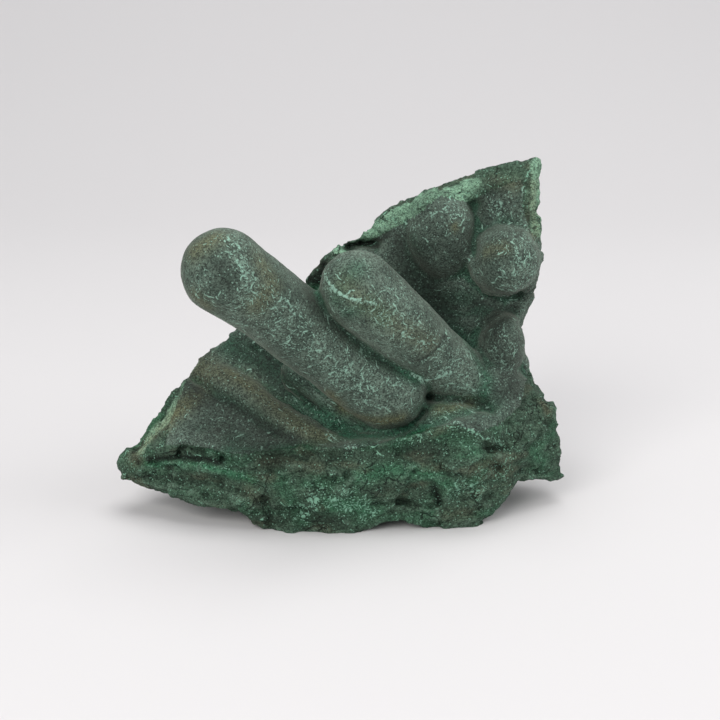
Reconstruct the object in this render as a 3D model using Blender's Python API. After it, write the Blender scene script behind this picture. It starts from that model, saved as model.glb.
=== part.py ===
"""A hand specimen of stalactitic malachite, built as the one solid that it grew as.

A broken wedge of massive malachite stands on its rough lower side. Its front is the
lining of a cavity: two round-ended fingers grow out of it towards the upper left, and
low ribs and bun-shaped lumps cover the rest. Everything else is fracture surface.

Frame: +X to the right, +Y to the back, +Z up, metres. The origin is the middle of the
specimen's footprint box, on the surface that it rests on. Sizes below are millimetres.
"""

import math

import bmesh
import bpy
import numpy as np
from mathutils import Matrix, Vector, noise

MM = 0.001

# Resolution of the solid.
FUSE_VOXEL = 0.9
FINAL_VOXEL = 0.75
MOST_TRIANGLES = 9300
LINING_PASSES = 6
FRACTURE_PASSES = 1

SHARP_ANGLE = math.radians(38)
STONE_COLOUR = (0.060, 0.118, 0.080, 1.0)

# The cavity lining's fingers, as (middle of the section, radius) from tip to root.
FINGERS = (
    (
        ((-24.1, -21.0, 61.2), 9.1),
        ((-16.2, -15.5, 53.6), 8.5),
        ((-7.8, -10.0, 45.2), 8.4),
        ((1.6, -5.6, 36.4), 8.5),
        ((10.6, -3.0, 29.2), 8.9),
    ),
    (
        ((4.0, -13.0, 55.4), 8.3),
        ((13.5, -6.5, 45.0), 7.9),
        ((22.0, -0.5, 36.0), 7.0),
        ((28.2, 4.6, 28.4), 7.6),
    ),
)

# Ribs are fingers that lie half sunk in the lining.
RIBS = (
    (
        ((-9.0, 0.0, 32.0), 4.6),
        ((-1.4, -0.6, 26.6), 4.4),
        ((5.4, -1.0, 22.4), 4.4),
    ),
    (
        ((-31.0, 10.5, 29.6), 2.8),
        ((-27.4, 4.5, 28.6), 4.4),
        ((-22.0, 1.0, 25.7), 4.8),
        ((-15.8, -3.5, 22.2), 4.8),
        ((-8.7, -7.0, 19.6), 4.4),
        ((-1.9, -9.5, 17.0), 3.8),
    ),
    (
        ((-16.0, 9.0, 32.0), 2.6),
        ((-5.5, 1.0, 23.4), 3.6),
        ((4.0, -4.5, 16.4), 4.2),
    ),
)

# Bun-shaped lumps: centre and half sizes.
LUMPS = (
    ((23.6, 15.0, 61.0), (8.4, 8.6, 10.4)),
    ((37.4, 9.6, 56.2), (8.3, 9.0, 7.9)),
    ((36.4, 18.6, 66.4), (7.6, 5.2, 7.6)),
    ((27.4, 16.0, 47.0), (9.6, 6.5, 7.4)),
    ((37.0, 8.0, 36.6), (5.4, 8.0, 7.8)),
    ((16.6, 17.5, 50.6), (7.0, 4.0, 7.4)),
    ((24.0, -3.4, 22.0), (8.4, 6.4, 5.0)),
    ((35.0, 3.5, 27.2), (8.0, 8.0, 6.4)),
    ((20.6, 3.4, 26.0), (4.0, 3.8, 3.4)),
    ((25.6, -9.4, 15.4), (10.4, 7.4, 6.8)),
    ((-4.0, -12.6, 13.6), (12.0, 5.6, 4.6)),
    ((9.0, -4.6, 15.8), (12.0, 7.4, 5.2)),
)

# The wedge: each block is the convex rock between its corners.
BLOCKS = {
    "fin": (
        (9.0, 19.5, 61.6), (10.3, 20.0, 65.3), (13.3, 21.0, 67.6), (23.0, 21.0, 70.3),
        (36.6, 19.0, 74.8), (45.6, 16.0, 79.5), (45.5, 15.0, 75.2), (44.7, 13.5, 62.0),
        (44.9, 12.0, 49.6), (41.0, 11.0, 39.6), (17.1, 14.5, 64.3), (23.9, 14.5, 69.6),
        (40.7, 12.0, 73.8), (42.6, 12.0, 75.6), (41.6, 12.0, 60.0), (8.0, 14.0, 56.0),
        (-2.0, 13.0, 40.0), (36.0, 10.0, 40.0), (-9.0, 23.0, 42.0), (4.0, 27.0, 51.0),
        (20.0, 29.0, 59.0), (35.0, 26.0, 67.0), (42.5, 21.0, 69.0), (43.0, 20.0, 50.0),
        (40.5, 22.0, 34.0), (16.0, 29.4, 36.0), (-9.0, 25.0, 28.0),
    ),
    "fin_low_end": (
        (-8.2, 14.0, 50.4), (-4.9, 15.5, 53.8), (-0.3, 17.0, 58.2), (2.2, 17.5, 59.5),
        (7.0, 18.5, 61.8), (11.0, 20.0, 62.2),
        (2.2, 16.0, 57.0), (11.0, 15.0, 58.0), (-2.0, 13.0, 40.0), (12.0, 13.0, 44.0),
        (-9.0, 23.0, 42.0), (4.0, 27.0, 50.0), (12.0, 27.0, 53.0), (-9.0, 25.0, 28.0),
    ),
    "wall": (
        (-23.2, 11.0, 38.4), (-8.0, 14.0, 48.0), (40.2, 10.0, 44.0), (43.3, 8.0, 32.4),
        (44.4, 5.0, 26.0), (30.0, 9.0, 30.0), (0.0, 6.0, 18.0), (-18.0, 8.0, 18.0),
        (-22.0, 16.0, 4.0), (-20.0, 24.0, 27.0), (4.0, 28.0, 44.0), (38.0, 26.0, 42.0),
        (44.0, 15.0, 25.0), (36.0, 23.0, 12.0),
    ),
    "buttress": (
        (-6.0, 22.0, 34.0), (22.0, 24.0, 48.0), (34.0, 26.0, 30.0), (24.0, 29.5, 22.0),
        (4.0, 29.8, 24.0), (-14.0, 24.0, 12.0), (-8.0, 25.0, 2.0), (20.0, 26.0, 3.0),
        (32.0, 20.0, 8.0), (8.0, 14.0, 20.0),
    ),
    "left_flank": (
        (-46.0, 0.5, 17.4), (-40.8, 2.0, 23.2), (-37.4, 3.4, 26.5), (-35.7, 5.0, 28.6),
        (-32.0, 7.0, 34.0), (-29.6, 8.0, 35.5), (-23.2, 10.0, 39.0), (-12.0, 14.0, 46.0),
        (-38.0, -3.0, 18.0), (-27.0, -6.0, 17.0), (-8.0, -6.0, 17.0), (0.0, 2.0, 20.0),
        (-42.0, 8.0, 16.0), (-34.0, 15.0, 26.0), (-26.0, 20.0, 30.0), (-22.0, 20.0, 10.0),
        (-14.0, 22.0, 36.0), (-36.0, 8.0, 8.0),
    ),
    "facet": (
        (-41.6, -6.0, 17.4), (-36.0, -8.6, 19.3), (-28.0, -11.2, 18.0),
        (-21.0, -12.8, 17.4), (-10.0, -13.4, 18.6), (-38.2, 2.0, 25.8), (-34.8, 2.8, 30.0),
        (-29.5, -0.5, 27.4), (-24.5, -2.6, 25.2), (-20.5, -5.2, 22.6), (-15.0, -9.0, 20.2),
        (-38.0, 8.0, 14.0), (-20.0, 6.0, 12.0), (-10.0, 0.0, 12.0),
    ),
    "ledge_left": (
        (-50.9, -2.0, 10.8), (-48.4, -1.0, 13.8), (-50.0, -3.5, 8.2), (-45.0, -5.0, 6.1),
        (-43.0, -5.5, 16.7), (-35.9, -8.0, 19.3), (-27.9, -11.0, 17.6),
        (-22.2, -13.0, 17.4), (-19.9, -14.6, 11.7), (-31.3, -11.4, 12.0),
        (-35.2, -8.4, 6.4), (-27.1, -11.4, 4.2), (-20.2, -13.4, 2.6), (-45.0, 6.0, 10.0),
        (-34.0, 12.0, 12.0), (-20.0, 12.0, 3.0), (-45.4, 0.8, 17.2), (-42.0, 4.0, 18.0),
    ),
    "ledge_middle": (
        (-22.2, -13.0, 17.4), (-8.8, -13.6, 19.1), (0.1, -14.4, 19.5), (13.3, -13.4, 20.8),
        (-19.9, -14.6, 11.7), (-8.7, -17.4, 10.5), (2.3, -18.4, 10.9), (13.3, -18.0, 13.3),
        (-20.6, -14.4, 2.4), (-15.0, -14.6, -1.0), (1.0, -16.0, -1.0), (6.7, -15.8, 0.8),
        (12.3, -15.6, 2.6), (17.5, -14.8, 3.6), (18.0, 4.0, 18.0), (-20.0, 8.0, 16.0),
        (-18.0, 18.0, -1.0), (16.0, 19.0, -1.0),
    ),
    "ledge_right": (
        (12.0, -13.4, 20.4), (22.2, -12.6, 23.6), (28.8, -12.4, 22.8), (35.7, -8.6, 24.9),
        (40.6, -3.4, 27.4), (13.3, -18.0, 13.3), (22.1, -17.4, 12.9), (31.1, -14.6, 11.7),
        (36.9, -11.6, 13.0), (40.4, -8.6, 16.6), (12.5, -15.4, 3.4), (15.7, -15.0, 2.4),
        (20.5, -13.6, -1.0), (29.6, -12.2, -1.0), (38.4, -9.4, 6.6), (41.2, -5.4, 8.3),
        (20.0, 6.0, 18.0), (42.0, 8.0, 24.0), (40.0, 10.0, 7.0), (30.0, 16.0, -1.0),
        (14.0, 17.0, -1.0),
    ),
    "lip": (
        (-44.0, -7.0, 13.6), (-36.0, -10.4, 13.4), (-27.0, -13.8, 13.2),
        (-18.0, -15.6, 14.2), (-43.0, -6.0, 16.8), (-35.0, -8.6, 19.4),
        (-26.0, -12.0, 18.2), (-18.0, -13.8, 17.6), (-30.0, 0.0, 15.0), (-18.0, -2.0, 15.0),
        (-40.0, 0.0, 15.0),
    ),
    "bed": (
        (-47.0, -5.4, 8.2), (-38.0, -10.4, 9.4), (-28.0, -13.8, 9.0), (-18.0, -16.2, 7.6),
        (-38.0, -9.6, 6.4), (-30.0, -12.4, 5.8), (-20.0, -15.0, 3.4), (-40.0, 0.0, 7.0),
        (-18.0, -4.0, 5.0),
    ),
    "shoulder": (
        (40.6, -3.4, 27.4), (44.2, 4.0, 26.9), (48.5, 3.0, 23.3), (50.1, 2.0, 17.4),
        (49.6, 2.0, 14.2), (51.9, 3.0, 6.6), (50.2, 3.0, 6.0), (46.0, 0.0, 6.8),
        (41.2, -5.4, 8.3), (40.4, -8.6, 16.6), (36.0, -8.4, 24.0), (44.0, 16.0, 26.0),
        (48.0, 13.0, 19.0), (48.6, 13.0, 8.0), (40.0, 19.0, 28.0), (36.0, 18.0, 6.0),
    ),
}

# Marks on the front are given as (x, z) where the line of sight from EYE to the mark
# crosses the plane y = 0.
EYE = (4.5, -367.0, 147.5)

# The outline of the cavity lining; what lies outside it is broken rock.
LINING = (
    (2.5, 61.5), (7.0, 63.0), (13.5, 66.5), (18.0, 69.5), (22.0, 73.0), (28.5, 71.5),
    (34.0, 74.5), (39.5, 76.5), (40.5, 74.5), (40.0, 71.0), (42.0, 65.0), (46.0, 62.0),
    (46.0, 50.0), (43.0, 36.0), (41.0, 24.5), (36.5, 20.0), (32.0, 18.0), (26.0, 20.0),
    (18.0, 18.5), (9.0, 15.0), (2.0, 14.0), (-9.5, 15.0), (-23.0, 12.5), (-34.5, 15.0),
    (-40.0, 15.0), (-39.0, 20.0), (-36.0, 27.5), (-32.0, 38.0), (-20.0, 44.0), (-6.0, 50.0),
)
LINING_BLEND = 1.2

# What is pressed into the front along the line of sight: path, half width, depth. A path
# of one mark is a round hollow, and a depth below zero raises a ridge.
GROOVES = (
    # broad hollows
    (((10.0, 55.0),), 9.0, 3.6),
    (((24.0, 49.0), (28.0, 50.0)), 5.0, 1.8),
    (((-24.0, 20.0),), 8.0, 1.2),
    (((-14.0, 33.5),), 4.0, 1.6),
    (((-8.0, 26.0),), 3.5, 1.4),
    (((22.0, 16.0),), 5.0, 1.2),
    (((11.5, 13.5),), 5.0, 1.2),
    (((38.0, 10.0),), 4.5, 1.2),
    (((-32.0, 3.5), (-24.0, 2.0)), 3.0, 0.8),
    (((1.0, 61.5), (4.5, 62.5), (8.0, 61.5)), 1.6, 2.6),
    # pits between the growths
    (((16.8, 20.5), (18.0, 21.5), (18.9, 22.9)), 0.9, 3.0),
    (((1.8, 61.2), (3.4, 62.2), (6.0, 62.3), (8.2, 62.6)), 0.9, 3.0),
    (((30.0, 71.0),), 1.4, 2.4),
    # creases between the growths
    (((-5.0, 51.5), (-3.5, 49.0), (0.0, 43.5), (4.5, 39.0), (10.0, 35.0), (17.5, 31.5)), 1.4, 1.2),
    (((29.0, 71.0), (30.0, 67.5), (30.0, 64.0), (30.0, 61.0)), 1.8, 2.2),
    (((30.0, 61.0), (31.0, 55.0), (33.5, 51.0), (37.0, 49.5), (39.5, 50.5)), 1.5, 1.6),
    (((30.5, 41.0), (33.0, 43.5), (36.0, 46.0), (39.0, 46.5)), 1.5, 1.4),
    (((20.5, 26.5), (25.0, 26.0), (32.0, 25.0), (34.0, 23.5)), 1.2, 1.8),
    (((-19.0, 38.0), (-17.5, 37.0), (-13.0, 32.5), (-9.0, 27.5), (-6.0, 25.0)), 1.0, 1.3),
    (((-33.0, 30.5), (-28.5, 27.0), (-24.5, 25.3), (-20.5, 22.0), (-15.0, 17.5)), 1.3, 1.2),
    # raised edges of the finger's cap and of the flank's facet
    (((-35.6, 28.0), (-37.5, 23.5), (-39.0, 20.0), (-41.5, 16.5), (-43.5, 14.5)), 1.2, -0.7),
    (((-23.0, 12.0), (-16.0, 13.0), (-9.5, 14.3), (-2.5, 14.3)), 1.0, -1.1),
    (((-27.0, 10.8), (-16.0, 11.0), (-9.5, 12.0), (-1.0, 11.6)), 1.2, 0.9),
    # the ledge's lip, and the crevice and bed under it
    (
        ((-43.5, 14.0), (-38.0, 15.2), (-34.5, 14.4), (-29.0, 13.2), (-23.0, 11.0), (-18.0, 9.2)),
        1.3, -1.4,
    ),
    (
        (
            (-37.3, 12.2), (-36.5, 14.2), (-34.5, 14.1), (-32.0, 13.6), (-29.9, 13.6),
            (-28.1, 13.3), (-26.8, 11.5),
        ),
        0.9, 2.4,
    ),
    (((-35.9, 12.7), (-33.4, 12.3), (-30.7, 12.2), (-28.4, 11.5)), 1.5, 1.6),
    (((-46.0, 9.0), (-40.5, 10.2), (-32.5, 9.4), (-23.0, 7.2), (-18.5, 6.4)), 0.9, -0.9),
    (((-43.0, 7.4), (-34.0, 7.0), (-24.0, 4.4), (-19.5, 1.8)), 0.9, 0.8),
    (((-19.0, 7.0), (-18.0, 1.5)), 1.2, 1.0),
    # the ledge's front
    (((-7.0, 1.5),), 9.0, -1.0),
    (((4.5, 7.0), (11.5, 9.0), (20.0, 7.5), (25.5, 4.5)), 2.2, -1.0),
    (((7.5, 4.0), (14.0, 3.5), (20.5, 3.0)), 1.8, 1.0),
    (((22.0, 4.0), (22.5, 2.5), (23.0, 0.5)), 1.0, 2.6),
    (((13.0, 16.0), (19.5, 18.0), (26.5, 20.5)), 1.3, -1.1),
    (((26.5, 20.5), (30.5, 18.0), (33.5, 16.5), (36.5, 15.0)), 1.4, -1.5),
    (((36.5, 14.0), (36.0, 9.0), (33.5, 5.0), (32.5, 1.5)), 1.3, -1.1),
    (((45.8, 24.0), (46.8, 16.0), (47.8, 9.0)), 1.2, -1.0),
    (((-2.5, 14.0), (2.0, 12.8), (6.0, 13.2), (12.5, 15.4)), 1.2, -0.9),
    (((33.0, 13.8), (35.5, 14.4), (37.5, 14.0)), 0.9, 2.8),
    (((36.5, 15.0), (39.0, 16.5), (40.5, 13.5), (37.0, 9.0), (33.0, 4.0)), 1.2, 0.9),
)

# Flat places on the fingers: a point of the plane, its outward direction, its reach.
FACETS = (
    ((3.4, -18.1, 59.2), (-0.1, -0.8, 0.6), 6.5),
    ((4.6, -14.4, 62.3), (0.08, -0.2, 0.975), 6.5),
)

# Broken rock: chips between flat breaks, and steps along the bedding.
NOISE_SEED = 4
CHIP_SIZE = 7.5
CHIP_STEP = 0.65
CHIP_TILT = 1.3
BED_PITCH = 4.6
BED_WARP = 6.0
BED_WAVE = 14.0
BED_STEP = 0.4
BED_DIP = (0.10, -0.12, 1.0)
BEDDED_BELOW = 24.0


def curve_point(points, share):
    """The point at this share of the way along a Catmull-Rom curve through the points."""
    spans = len(points) - 1
    at = min(max(share, 0.0), 1.0) * spans
    i = min(int(at), spans - 1)
    t = at - i
    before, start = points[max(i - 1, 0)], points[i]
    end, after = points[i + 1], points[min(i + 2, spans)]
    return 0.5 * (
        2 * start
        + (end - before) * t
        + (2 * before - 5 * start + 4 * end - after) * t * t
        + (3 * start - before - 3 * end + after) * t ** 3
    )


def add_finger(bm, sections, sides=32, rings=48):
    """A round-ended tube: a sphere whose rings are drawn out along the sections."""
    middles = [Vector(middle) * MM for middle, _ in sections]
    radii = [Vector((radius * MM, 0, 0)) for _, radius in sections]
    length = sum((b - a).length for a, b in zip(middles, middles[1:]))
    tip_arc = radii[0].x * math.pi / 2
    root_arc = radii[-1].x * math.pi / 2
    whole = tip_arc + length + root_arc
    made = bmesh.ops.create_uvsphere(bm, u_segments=sides, v_segments=rings, radius=1.0)
    for vert in made["verts"]:
        travelled = math.acos(min(max(vert.co.z, -1.0), 1.0)) / math.pi * whole
        turn = math.atan2(vert.co.y, vert.co.x)
        share = min(max((travelled - tip_arc) / length, 0.0), 1.0)
        radius = curve_point(radii, share).x
        middle = curve_point(middles, share)
        ahead = curve_point(middles, share + 0.02) - curve_point(middles, share - 0.02)
        ahead.normalize()
        across = ahead.cross(Vector((0, 0, 1))).normalized()
        up = across.cross(ahead)
        if travelled < tip_arc:
            middle -= ahead * radius * math.cos(travelled / radius)
            radius *= math.sin(travelled / radius)
        elif travelled > tip_arc + length:
            middle += ahead * radius * math.cos((whole - travelled) / radius)
            radius *= math.sin((whole - travelled) / radius)
        vert.co = middle + (across * math.cos(turn) + up * math.sin(turn)) * radius


def add_lump(bm, centre, half_sizes):
    """An ellipsoid."""
    place = Matrix.Translation(Vector(centre) * MM)
    size = Matrix.Diagonal((*(half * MM for half in half_sizes), 1.0))
    bmesh.ops.create_icosphere(bm, subdivisions=4, radius=1.0, matrix=place @ size)


def add_block(bm, corners):
    """The convex hull of the corners."""
    verts = [bm.verts.new(Vector(corner) * MM) for corner in corners]
    hull = bmesh.ops.convex_hull(bm, input=verts)
    inside = [item for item in hull["geom_interior"] if isinstance(item, bmesh.types.BMVert)]
    bmesh.ops.delete(bm, geom=inside, context="VERTS")


def object_from(bm, name):
    """A linked object that holds the bmesh."""
    mesh = bpy.data.meshes.new(name)
    bm.to_mesh(mesh)
    bm.free()
    obj = bpy.data.objects.new(name, mesh)
    bpy.context.scene.collection.objects.link(obj)
    return obj


def bake(obj):
    """Turns the object's modifiers into its mesh."""
    graph = bpy.context.evaluated_depsgraph_get()
    mesh = bpy.data.meshes.new_from_object(obj.evaluated_get(graph))
    obj.modifiers.clear()
    obj.data = mesh
    bpy.context.view_layer.update()


def fuse(obj, voxel):
    """Makes overlapping shapes into one skin of even faces."""
    remesh = obj.modifiers.new("Fuse", "REMESH")
    remesh.mode = "VOXEL"
    remesh.voxel_size = voxel * MM
    bake(obj)


def points_of(mesh):
    """The mesh's points in millimetres."""
    points = np.empty(len(mesh.vertices) * 3, np.float32)
    mesh.vertices.foreach_get("co", points)
    return points.reshape(-1, 3).astype(float) / MM


def normals_of(mesh):
    """The mesh's outward directions at its points."""
    normals = np.empty(len(mesh.vertices) * 3, np.float32)
    mesh.vertex_normals.foreach_get("vector", normals)
    return normals.reshape(-1, 3).astype(float)


def set_points(obj, points):
    """Moves the object's points to these places, in millimetres."""
    obj.data.vertices.foreach_set("co", (points * MM).astype(np.float32).ravel())
    obj.data.update()
    bpy.context.view_layer.update()


def smooth(obj, passes, share=None):
    """Evens out the surface, fully or by each point's share."""
    soften = obj.modifiers.new("Soften", "SMOOTH")
    soften.iterations = passes
    if share is not None:
        group = obj.vertex_groups.new(name="share")
        for index, weight in enumerate(share):
            group.add([index], float(weight), "REPLACE")
        soften.vertex_group = "share"
    bake(obj)
    obj.vertex_groups.clear()


def step(value):
    """0 below 0, 1 above 1, and a smooth rise between."""
    value = np.clip(value, 0.0, 1.0)
    return value * value * (3.0 - 2.0 * value)


def on_sheet(points):
    """Where the lines of sight to the points cross the plane y = 0, as (x, z)."""
    eye = np.array(EYE)
    reach = -eye[1] / (points[:, 1] - eye[1])
    return (eye + (points - eye) * reach[:, None])[:, (0, 2)]


def on_surface(obj, mark):
    """The first place of the surface on the line of sight through the mark."""
    eye = Vector(EYE)
    sight = (Vector((mark[0], 0.0, mark[1])) - eye).normalized()
    hit, place, _, _ = obj.ray_cast(eye * MM, sight)
    if not hit:
        raise ValueError(f"nothing is seen at {mark}")
    return np.array(place) / MM


def distance_to_path(points, path):
    """Each point's distance to a run of straight pieces, in 2 or 3 dimensions."""
    nearest = np.linalg.norm(points - path[0], axis=1)
    for start, end in zip(path, path[1:]):
        along = end - start
        share = np.clip((points - start) @ along / (along @ along), 0.0, 1.0)
        nearest = np.minimum(nearest, np.linalg.norm(points - start - share[:, None] * along, axis=1))
    return nearest


def inside_outline(flat, outline):
    """Distance into the outline, negative outside it."""
    corners = np.array(outline)
    inside = np.zeros(len(flat), bool)
    for (x0, z0), (x1, z1) in zip(corners, np.roll(corners, -1, axis=0)):
        spans = (z0 > flat[:, 1]) != (z1 > flat[:, 1])
        crossing = x0 + (flat[:, 1] - z0) * (x1 - x0) / (z1 - z0 + 1e-9)
        inside ^= spans & (flat[:, 0] < crossing)
    distance = distance_to_path(flat, np.vstack([corners, corners[:1]]))
    return np.where(inside, distance, -distance)


def height_over_finger(points, sections):
    """Distance outside a finger, roughly."""
    best = np.full(len(points), np.inf)
    for (start, start_radius), (end, end_radius) in zip(sections, sections[1:]):
        start, along = np.array(start), np.array(end) - np.array(start)
        share = np.clip((points - start) @ along / (along @ along), 0.0, 1.0)
        radius = start_radius + (end_radius - start_radius) * share
        away = np.linalg.norm(points - start - share[:, None] * along, axis=1) - radius
        best = np.minimum(best, away)
    return best


def lining_share(points, normals):
    """1 on the cavity lining, 0 on broken rock."""
    sights = points - np.array(EYE)
    facing = -np.sum(sights * normals, axis=1) / np.linalg.norm(sights, axis=1)
    within = inside_outline(on_sheet(points), LINING) / LINING_BLEND + 0.5
    front = step(within) * step(facing * 4.0 + 0.5) * (points[:, 1] < 20.0)
    for sections in FINGERS:
        front = np.maximum(front, step(1.5 - height_over_finger(points, sections)))
    return front


def press(obj, points):
    """The grooves and ridges of the front, pressed in or raised along the line of sight."""
    sights = points - np.array(EYE)
    sights /= np.linalg.norm(sights, axis=1)[:, None]
    moved = points.copy()
    for path, width, depth in GROOVES:
        route = [on_surface(obj, mark) for mark in path]
        distance = distance_to_path(points, route)
        moved += sights * (depth * np.exp(-((distance / width) ** 2)))[:, None]
    return moved


def flatten(points):
    """Levels what stands over a facet's plane, near the facet."""
    for place, outward, reach in FACETS:
        outward = np.array(outward) / np.linalg.norm(outward)
        over = np.maximum((points - place) @ outward, 0.0)
        near = np.linalg.norm(points - place, axis=1) < reach
        points = points - outward * (over * near * 0.85)[:, None]
    return points


def chip_relief(point):
    """How far a chip's flat break stands out at this point."""
    _, centres = noise.voronoi(point)
    centre = centres[0]
    tilt = noise.noise_vector(centre * 3.1)
    return CHIP_STEP * 2.0 * noise.noise(centre * 5.3) + CHIP_TILT * tilt.dot(point - centre)


def break_rock(points, normals, rock):
    """Chips and bedding steps, on the broken rock only."""
    chips = np.array([chip_relief(Vector(point / CHIP_SIZE)) for point in points])
    warp = np.array([noise.fractal(Vector(point / BED_WAVE), 1.0, 2.0, 3) for point in points])
    beds = (points @ np.array(BED_DIP) + BED_WARP * warp) / BED_PITCH
    rise = beds - np.floor(beds)
    shelf = step(rise / 0.3) * (1.0 - rise)
    bedded = step((BEDDED_BELOW - points[:, 2]) / 6.0)
    return points + normals * (rock * (chips + BED_STEP * (shelf - 0.4) * bedded))[:, None]


def thin(obj, triangles):
    """Merges faces, the flattest first, down to this many triangles."""
    decimate = obj.modifiers.new("Thin", "DECIMATE")
    decimate.ratio = triangles / (2.0 * len(obj.data.polygons))
    bake(obj)


def cut_flat(obj):
    """Cuts off what reaches below the surface that the specimen rests on."""
    bm = bmesh.new()
    bm.from_mesh(obj.data)
    everything = bm.verts[:] + bm.edges[:] + bm.faces[:]
    bmesh.ops.bisect_plane(
        bm, geom=everything, plane_co=(0, 0, 0), plane_no=(0, 0, 1), clear_inner=True
    )
    rim = [edge for edge in bm.edges if edge.is_boundary]
    bmesh.ops.triangle_fill(bm, edges=rim, use_beauty=True, use_dissolve=False)
    bmesh.ops.recalc_face_normals(bm, faces=bm.faces[:])
    bm.to_mesh(obj.data)
    bm.free()


def stone():
    """Dull dark green malachite."""
    material = bpy.data.materials.new("malachite")
    material.use_nodes = True
    shader = material.node_tree.nodes["Principled BSDF"]
    shader.inputs["Base Color"].default_value = STONE_COLOUR
    shader.inputs["Roughness"].default_value = 0.8
    shader.inputs["Metallic"].default_value = 0.0
    return material


def main():
    """Builds the specimen."""
    for obj in list(bpy.data.objects):
        bpy.data.objects.remove(obj)
    noise.seed_set(NOISE_SEED)
    bm = bmesh.new()
    for corners in BLOCKS.values():
        add_block(bm, corners)
    for sections in FINGERS + RIBS:
        add_finger(bm, sections)
    for centre, half_sizes in LUMPS:
        add_lump(bm, centre, half_sizes)
    specimen = object_from(bm, "malachite")
    fuse(specimen, FUSE_VOXEL)
    smooth(specimen, FRACTURE_PASSES)
    smooth(specimen, LINING_PASSES, lining_share(points_of(specimen.data), normals_of(specimen.data)))
    points = points_of(specimen.data)
    normals = normals_of(specimen.data)
    rock = 1.0 - lining_share(points, normals)
    points = flatten(press(specimen, points))
    set_points(specimen, break_rock(points, normals, rock))
    fuse(specimen, FINAL_VOXEL)
    thin(specimen, MOST_TRIANGLES)
    cut_flat(specimen)
    specimen.data.shade_smooth()
    specimen.data.set_sharp_from_angle(angle=SHARP_ANGLE)
    specimen.data.materials.append(stone())


main()
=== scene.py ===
"""The malachite specimen at full detail: its stone surface, its colours and the studio.

The specimen is one natural stone. The frame's solid has its main forms; here the same forms
are fused finely, broken, pitted and grained, coloured by what each patch of stone is, with
painted shade in its hollows and creases and a painted highlight on the rock's crests, and
stood on a pale sweep. Sizes are millimetres until a mesh is written, in the frame's axes:
+X right, +Y back, +Z up, origin under the middle of the footprint.
"""

from __future__ import annotations

import logging
import math
from collections.abc import Sequence
from dataclasses import dataclass, field
from enum import Enum

import bmesh
import bpy
import numpy as np
from mathutils import Matrix, Vector, noise


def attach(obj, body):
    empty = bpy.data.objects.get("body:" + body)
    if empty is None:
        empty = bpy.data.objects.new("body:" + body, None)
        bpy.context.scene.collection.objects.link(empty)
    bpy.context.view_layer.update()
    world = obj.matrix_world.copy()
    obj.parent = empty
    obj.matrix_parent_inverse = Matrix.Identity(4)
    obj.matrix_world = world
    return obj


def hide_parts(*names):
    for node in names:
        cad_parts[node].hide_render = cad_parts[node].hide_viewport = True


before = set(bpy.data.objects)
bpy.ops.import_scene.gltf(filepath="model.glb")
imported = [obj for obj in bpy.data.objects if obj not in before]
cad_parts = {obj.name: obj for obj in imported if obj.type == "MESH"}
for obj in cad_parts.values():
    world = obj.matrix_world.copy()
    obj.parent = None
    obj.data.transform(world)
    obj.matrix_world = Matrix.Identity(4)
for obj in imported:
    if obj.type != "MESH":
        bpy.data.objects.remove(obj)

MM = 0.001
TINY = 1e-9
LOG = logging.getLogger("malachite")
# The attribute that says how far each point lies in a hollow, below 0 on a crest.
HOLLOW = "broad_hollow"

Mark = tuple[float, float]
Place = tuple[float, float, float]
Colour = tuple[float, float, float]


# Small tools for points and meshes


def rise(value: np.ndarray) -> np.ndarray:
    """0 below 0, 1 above 1, and a smooth rise between."""
    value = np.clip(value, 0.0, 1.0)
    return value * value * (3.0 - 2.0 * value)


def distance_to_path(points: np.ndarray, path: Sequence[np.ndarray]) -> np.ndarray:
    """Each point's distance to a run of straight pieces.

    Args:
        points: One point a row, in two or three dimensions.
        path: The run's corners, in order. One corner stands for itself, and corners at one
            place count once.

    Returns:
        The distances, in the points' unit.
    """
    nearest = np.linalg.norm(points - path[0], axis=1)
    for start, end in zip(path, path[1:]):
        along = end - start
        if not along.any():
            continue
        share = np.clip((points - start) @ along / (along @ along), 0.0, 1.0)
        away = np.linalg.norm(points - start - share[:, None] * along, axis=1)
        nearest = np.minimum(nearest, away)
    return nearest


def depth_inside(flat: np.ndarray, outline: Sequence[Mark]) -> np.ndarray:
    """How far each flat point lies inside an outline.

    Args:
        flat: The points, as (x, z) rows.
        outline: The outline's corners, in order.

    Returns:
        Distances to the outline, negative outside it.
    """
    corners = np.array(outline)
    inside = np.zeros(len(flat), bool)
    for (x0, z0), (x1, z1) in zip(corners, np.roll(corners, -1, axis=0)):
        spans = (z0 > flat[:, 1]) != (z1 > flat[:, 1])
        crossing = x0 + (flat[:, 1] - z0) * (x1 - x0) / (z1 - z0 + TINY)
        inside ^= spans & (flat[:, 0] < crossing)
    distance = distance_to_path(flat, np.vstack([corners, corners[:1]]))
    return np.where(inside, distance, -distance)


def curve_point(points: Sequence[Vector], share: float) -> Vector:
    """The point at a share of the way along a smooth curve through the points.

    Args:
        points: The points that the curve passes through.
        share: From 0 at the first point to 1 at the last.

    Returns:
        A point of the Catmull-Rom curve.
    """
    spans = len(points) - 1
    at = min(max(share, 0.0), 1.0) * spans
    i = min(int(at), spans - 1)
    t = at - i
    before, start = points[max(i - 1, 0)], points[i]
    end, after = points[i + 1], points[min(i + 2, spans)]
    return 0.5 * (
        2 * start
        + (end - before) * t
        + (2 * before - 5 * start + 4 * end - after) * t * t
        + (3 * start - before - 3 * end + after) * t**3
    )


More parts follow.
